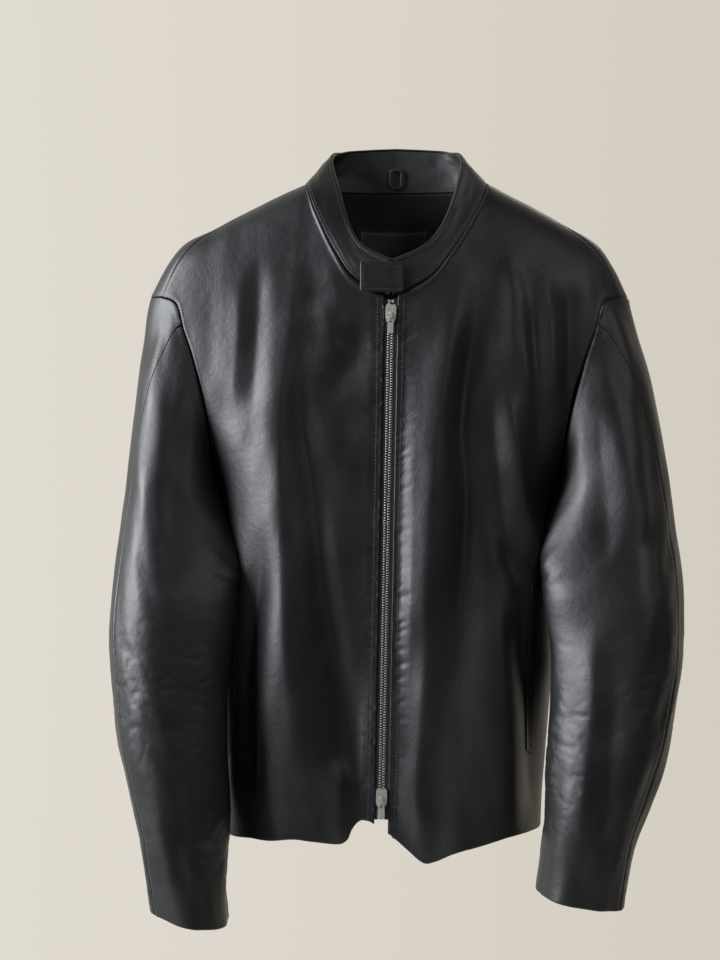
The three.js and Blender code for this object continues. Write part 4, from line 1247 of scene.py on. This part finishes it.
teethBottom = -(zipLength - zipParts["pinLength"] - 3)
tooth = [(2.9, -0.62), (2.1, -0.62), (1.5, -0.42), (1.15, -0.42), (0.8, -0.6), (0.45, -0.5), (0.45, 0.5),
         (0.8, 0.6), (1.15, 0.42), (1.5, 0.42), (2.1, 0.62), (2.9, 0.62)]
for name, side in sides.items():
    low = name.lower()
    outline = np.array(tooth)
    toothFront, toothBack = zipParts["toothFront"], zipParts["toothBack"]
    depths = [toothFront, toothFront + 0.25, toothBack - 0.25, toothBack]
    narrow = [0.8, 1, 1, 0.8]
    points = []
    faces = []
    level = zipParts["teethTop"] - 0.7 - (side > 0) * zipParts["toothPitch"] / 2
    count = 0
    middle = outline.mean(axis=0)
    while level > teethBottom + 0.7:
        for depth, scale in zip(depths, narrow):
            placed = middle + (outline - middle) * scale
            crown = zipParts["crown"] if depth == depths[0] else 0
            for x, z in placed:
                points.append((side * x, depth - crown * (1 - ((x - 1.7) / 1.25) ** 2), level + z))
        n = len(outline)
        for k in range(3):
            for i in range(n):
                quad = (count + k * n + i, count + k * n + (i + 1) % n, count + (k + 1) * n + (i + 1) % n,
                        count + (k + 1) * n + i)
                faces.append(quad if side < 0 else quad[::-1])
        for k, turn in ((0, 1), (3, -1)):
            base = count + k * n
            for i in range(0, n // 2 - 1):
                quad = (base + i, base + n - 1 - i, base + n - 2 - i, base + i + 1)
                faces.append(quad[::turn] if side < 0 else quad[::-turn])
        count += 4 * n
        level -= zipParts["toothPitch"]
    teeth = makeMesh("zipTeeth" + name, onZip(points), faces)
    teeth.data.polygons.foreach_set("use_smooth", np.zeros(len(teeth.data.polygons), bool))
    dress(teeth, brightMetal, "jacket", [f"zip_teeth_{low}"])

    # the woven tape, with a corded edge beside the teeth
    tapeFrom = zipParts["teethWidth"] / 2 + 0.1
    tapeTo = tapeFrom + zipParts["tapeWidth"]
    x = np.concatenate([np.linspace(tapeFrom, tapeFrom + 1.6, 7), np.linspace(tapeFrom + 2.4, tapeTo, 8)])
    z = np.linspace(1, -zipLength - 1, 260)
    gridX, gridZ = np.meshgrid(x, z)
    cord = 0.35 * bump(gridX - tapeFrom - 0.8, 0.6)
    local = np.stack([side * gridX, 1.5 - cord + 0.03 * np.sin(gridZ * 1.3), gridZ], axis=2)
    # +x goes across and -z down, so the face is towards the front for the left tape
    tapeGrid = withEdges(onZip(local), -side)
    woven = sheetPiece("zipTape" + name, tapeGrid, 0, zipParts["tapeThickness"])
    dress(woven, tape, "jacket", [f"zip_tape_{low}"])
    declare(woven, tapeGrid)
print("zip made")

# cast metal pieces keep their solids, with softened edges
softEdges = {
    "top_slider": 0.3, "bottom_slider": 0.3, "top_slider_pull": 0.35, "bottom_slider_pull": 0.35,
    "zip_top_stop_right": 0.3, "zip_top_stop_left": 0.3, "zip_pin_right": 0.25, "zip_pin_left": 0.25,
    "snap_socket": 0.2, "snap_stud": 0.2,
}
for nodeName, edge in softEdges.items():
    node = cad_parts[nodeName]
    node.data.materials.clear()
    node.data.materials.append(brightMetal)
    soften = node.modifiers.new("soften", "BEVEL")
    soften.width = edge * mm
    soften.segments = 3
    soften.limit_method = "ANGLE"
    soften.harden_normals = False

# ---- collar tab ----
tab = {"width": 43, "height": 30, "corner": 2.5, "stitchIn": 3.2, "lean": 5.3, "hinge": (12, -61.8, -120)}
tabTurn = math.radians(tab["lean"])


def onTab(points):
    points = np.asarray(points, float)
    x = points[..., 0] * math.cos(tabTurn) - points[..., 1] * math.sin(tabTurn)
    y = points[..., 0] * math.sin(tabTurn) + points[..., 1] * math.cos(tabTurn)
    return np.stack([x, y, points[..., 2]], axis=-1) + np.array(tab["hinge"])


def tabGrid(inset, step):
    across = stopsOver(tab["width"] - 2 * inset, step)
    down = stopsOver(tab["height"] - 2 * inset, step)
    u, v = np.meshgrid(across, down)
    x = -inset - (tab["width"] - 2 * inset) * (1 - u)
    z = inset + (tab["height"] - 2 * inset) * (1 - v)
    # rounded corners: pull the corner region in
    halfW = tab["width"] / 2 - inset
    halfH = tab["height"] / 2 - inset
    cx = x + tab["width"] / 2
    cz = z - tab["height"] / 2
    overX = np.abs(cx) - (halfW - tab["corner"])
    overZ = np.abs(cz) - (halfH - tab["corner"])
    inCorner = (overX > 0) & (overZ > 0)
    far = np.hypot(overX, overZ)
    square = np.maximum(overX, overZ)
    shrink = np.where(inCorner, square / np.maximum(far, 1e-6), 1)
    x = np.where(inCorner, np.sign(cx) * (halfW - tab["corner"] + overX * shrink) - tab["width"] / 2, x)
    z = np.where(inCorner, np.sign(cz) * (halfH - tab["corner"] + overZ * shrink) + tab["height"] / 2, z)
    swell = 0.25 * softNoise(x + 80, z + 20, 9, 61) + 0.5 * bump(np.hypot(x + 24, z - 13), 6)
    edgeNear = np.minimum.reduce([x + tab["width"], z, tab["height"] - z])
    # it bows out in the middle, lies flat near the hinge and is drawn in along its stitching
    swell = (swell + 0.6 * (1 - ((x + 26) / 20) ** 2)) * smooth((-x - 6) / 14)
    swell = swell - 1.0 * smooth((x + 8) / 8)
    swell = swell - 0.4 * bump(edgeNear - tab["stitchIn"], 0.8) + 0.25 * bump(edgeNear - 1.4, 1.4)
    return x, z, swell


x, z, swell = tabGrid(0, 0.9)
tabFace = withEdges(onTab(np.stack([x, -2.5 - swell, z], axis=2)), -1)
tabPiece = sheetPiece("collarTab", tabFace, 0, 1.15, {k: "turned" for k in ("left", "top", "bottom")})
dress(tabPiece, nappaLeather, "collar_tab", ["collar_tab"])
declare(tabPiece, tabFace)
x, z, swell = tabGrid(0.6, 1.5)
tabBack = withEdges(onTab(np.stack([x, -1.0 + 0 * x, z], axis=2)), -1)
tabLined = sheetPiece("collarTabFacing", tabBack, 0, 1.0)
dress(tabLined, insideLeather, "collar_tab", ["collar_tab_facing"])
declare(tabLined, tabBack)
around = [lineDown(tabFace, "left", tab["stitchIn"], 8, -8),
          lineAcross(tabFace, "top", tab["stitchIn"], 8, -16),
          lineAcross(tabFace, "bottom", tab["stitchIn"], 8, -16)]
stitchRows("tabStitching", around, "collar_tab")
print("collar tab made")

# ---- camera, light and room ----
view = {"place": (-0.0304, -1.26, -0.3036), "lens": 45.9}
cameraData = bpy.data.cameras.new("camera")
cameraData.lens = view["lens"]
cameraData.sensor_width = 36
camera = bpy.data.objects.new("camera", cameraData)
camera.location = view["place"]
camera.rotation_euler = (math.pi / 2, 0, 0)
bpy.context.scene.collection.objects.link(camera)
bpy.context.scene.camera = camera
bpy.context.scene.view_settings.view_transform = "Standard"

lamps = {
    "window": {"place": (-2.2, -0.8, 0.4), "size": (1.1, 1.8), "power": 140, "colour": "#f3f6fc"},
    "fill": {"place": (1.6, -1.9, 0.9), "size": (0.8, 1.2), "power": 9, "colour": "#fbf8f3"},
    "rear": {"place": (0.6, 2.2, 1.0), "size": (1.8, 1.8), "power": 20, "colour": "#fff7ee"},
}
for name, lamp in lamps.items():
    data = bpy.data.lights.new(name, "AREA")
    data.shape = "RECTANGLE"
    data.size, data.size_y = lamp["size"]
    data.energy = lamp["power"]
    data.color = linear(lamp["colour"])[:3]
    made = bpy.data.objects.new(name, data)
    made.location = lamp["place"]
    made.rotation_euler = (Vector((0, 0, -0.33)) - Vector(lamp["place"])).to_track_quat("-Z", "Y").to_euler()
    bpy.context.scene.collection.objects.link(made)

room = {"wallLit": "#e6e1d8", "wallFar": "#cec6b9", "behindCamera": "#44484b"}
world = bpy.data.worlds.new("room")
bpy.context.scene.world = world
world.use_nodes = True
air = world.node_tree
direction = addNode(air, "ShaderNodeTexCoord").outputs["Generated"]
split = addNode(air, "ShaderNodeSeparateXYZ", {0: direction})
wallShade = addNode(air, "ShaderNodeMapRange",
                    {"Value": split.outputs["X"], "From Min": -0.5, "From Max": 0.5})
wallEnds = {6: linear(room["wallLit"]), 7: linear(room["wallFar"])}
wallTone = addNode(air, "ShaderNodeMix", {0: wallShade.outputs[0], **wallEnds}, data_type="RGBA")
turnAway = addNode(air, "ShaderNodeMapRange",
                   {"Value": split.outputs["Y"], "From Min": 0.25, "From Max": -0.1})
roomEnds = {6: wallTone.outputs[2], 7: linear(room["behindCamera"])}
roomTone = addNode(air, "ShaderNodeMix", {0: turnAway.outputs[0], **roomEnds}, data_type="RGBA")
air.links.new(roomTone.outputs[2], air.nodes["Background"].inputs["Color"])

floorData = bpy.data.meshes.new("floor")
floorData.from_pydata([(-2, -2, -1.75), (2, -2, -1.75), (2, 2, -1.75), (-2, 2, -1.75)], [], [(0, 1, 2, 3)])
floor = bpy.data.objects.new("floor", floorData)
bpy.context.scene.collection.objects.link(floor)
floorMaterial, _, floorShader = newMaterial("paleFloor")
setShader(floorShader, {"Base Color": linear("#d8d4cc"), "Roughness": 0.7})
floorData.materials.append(floorMaterial)

print("scene made")
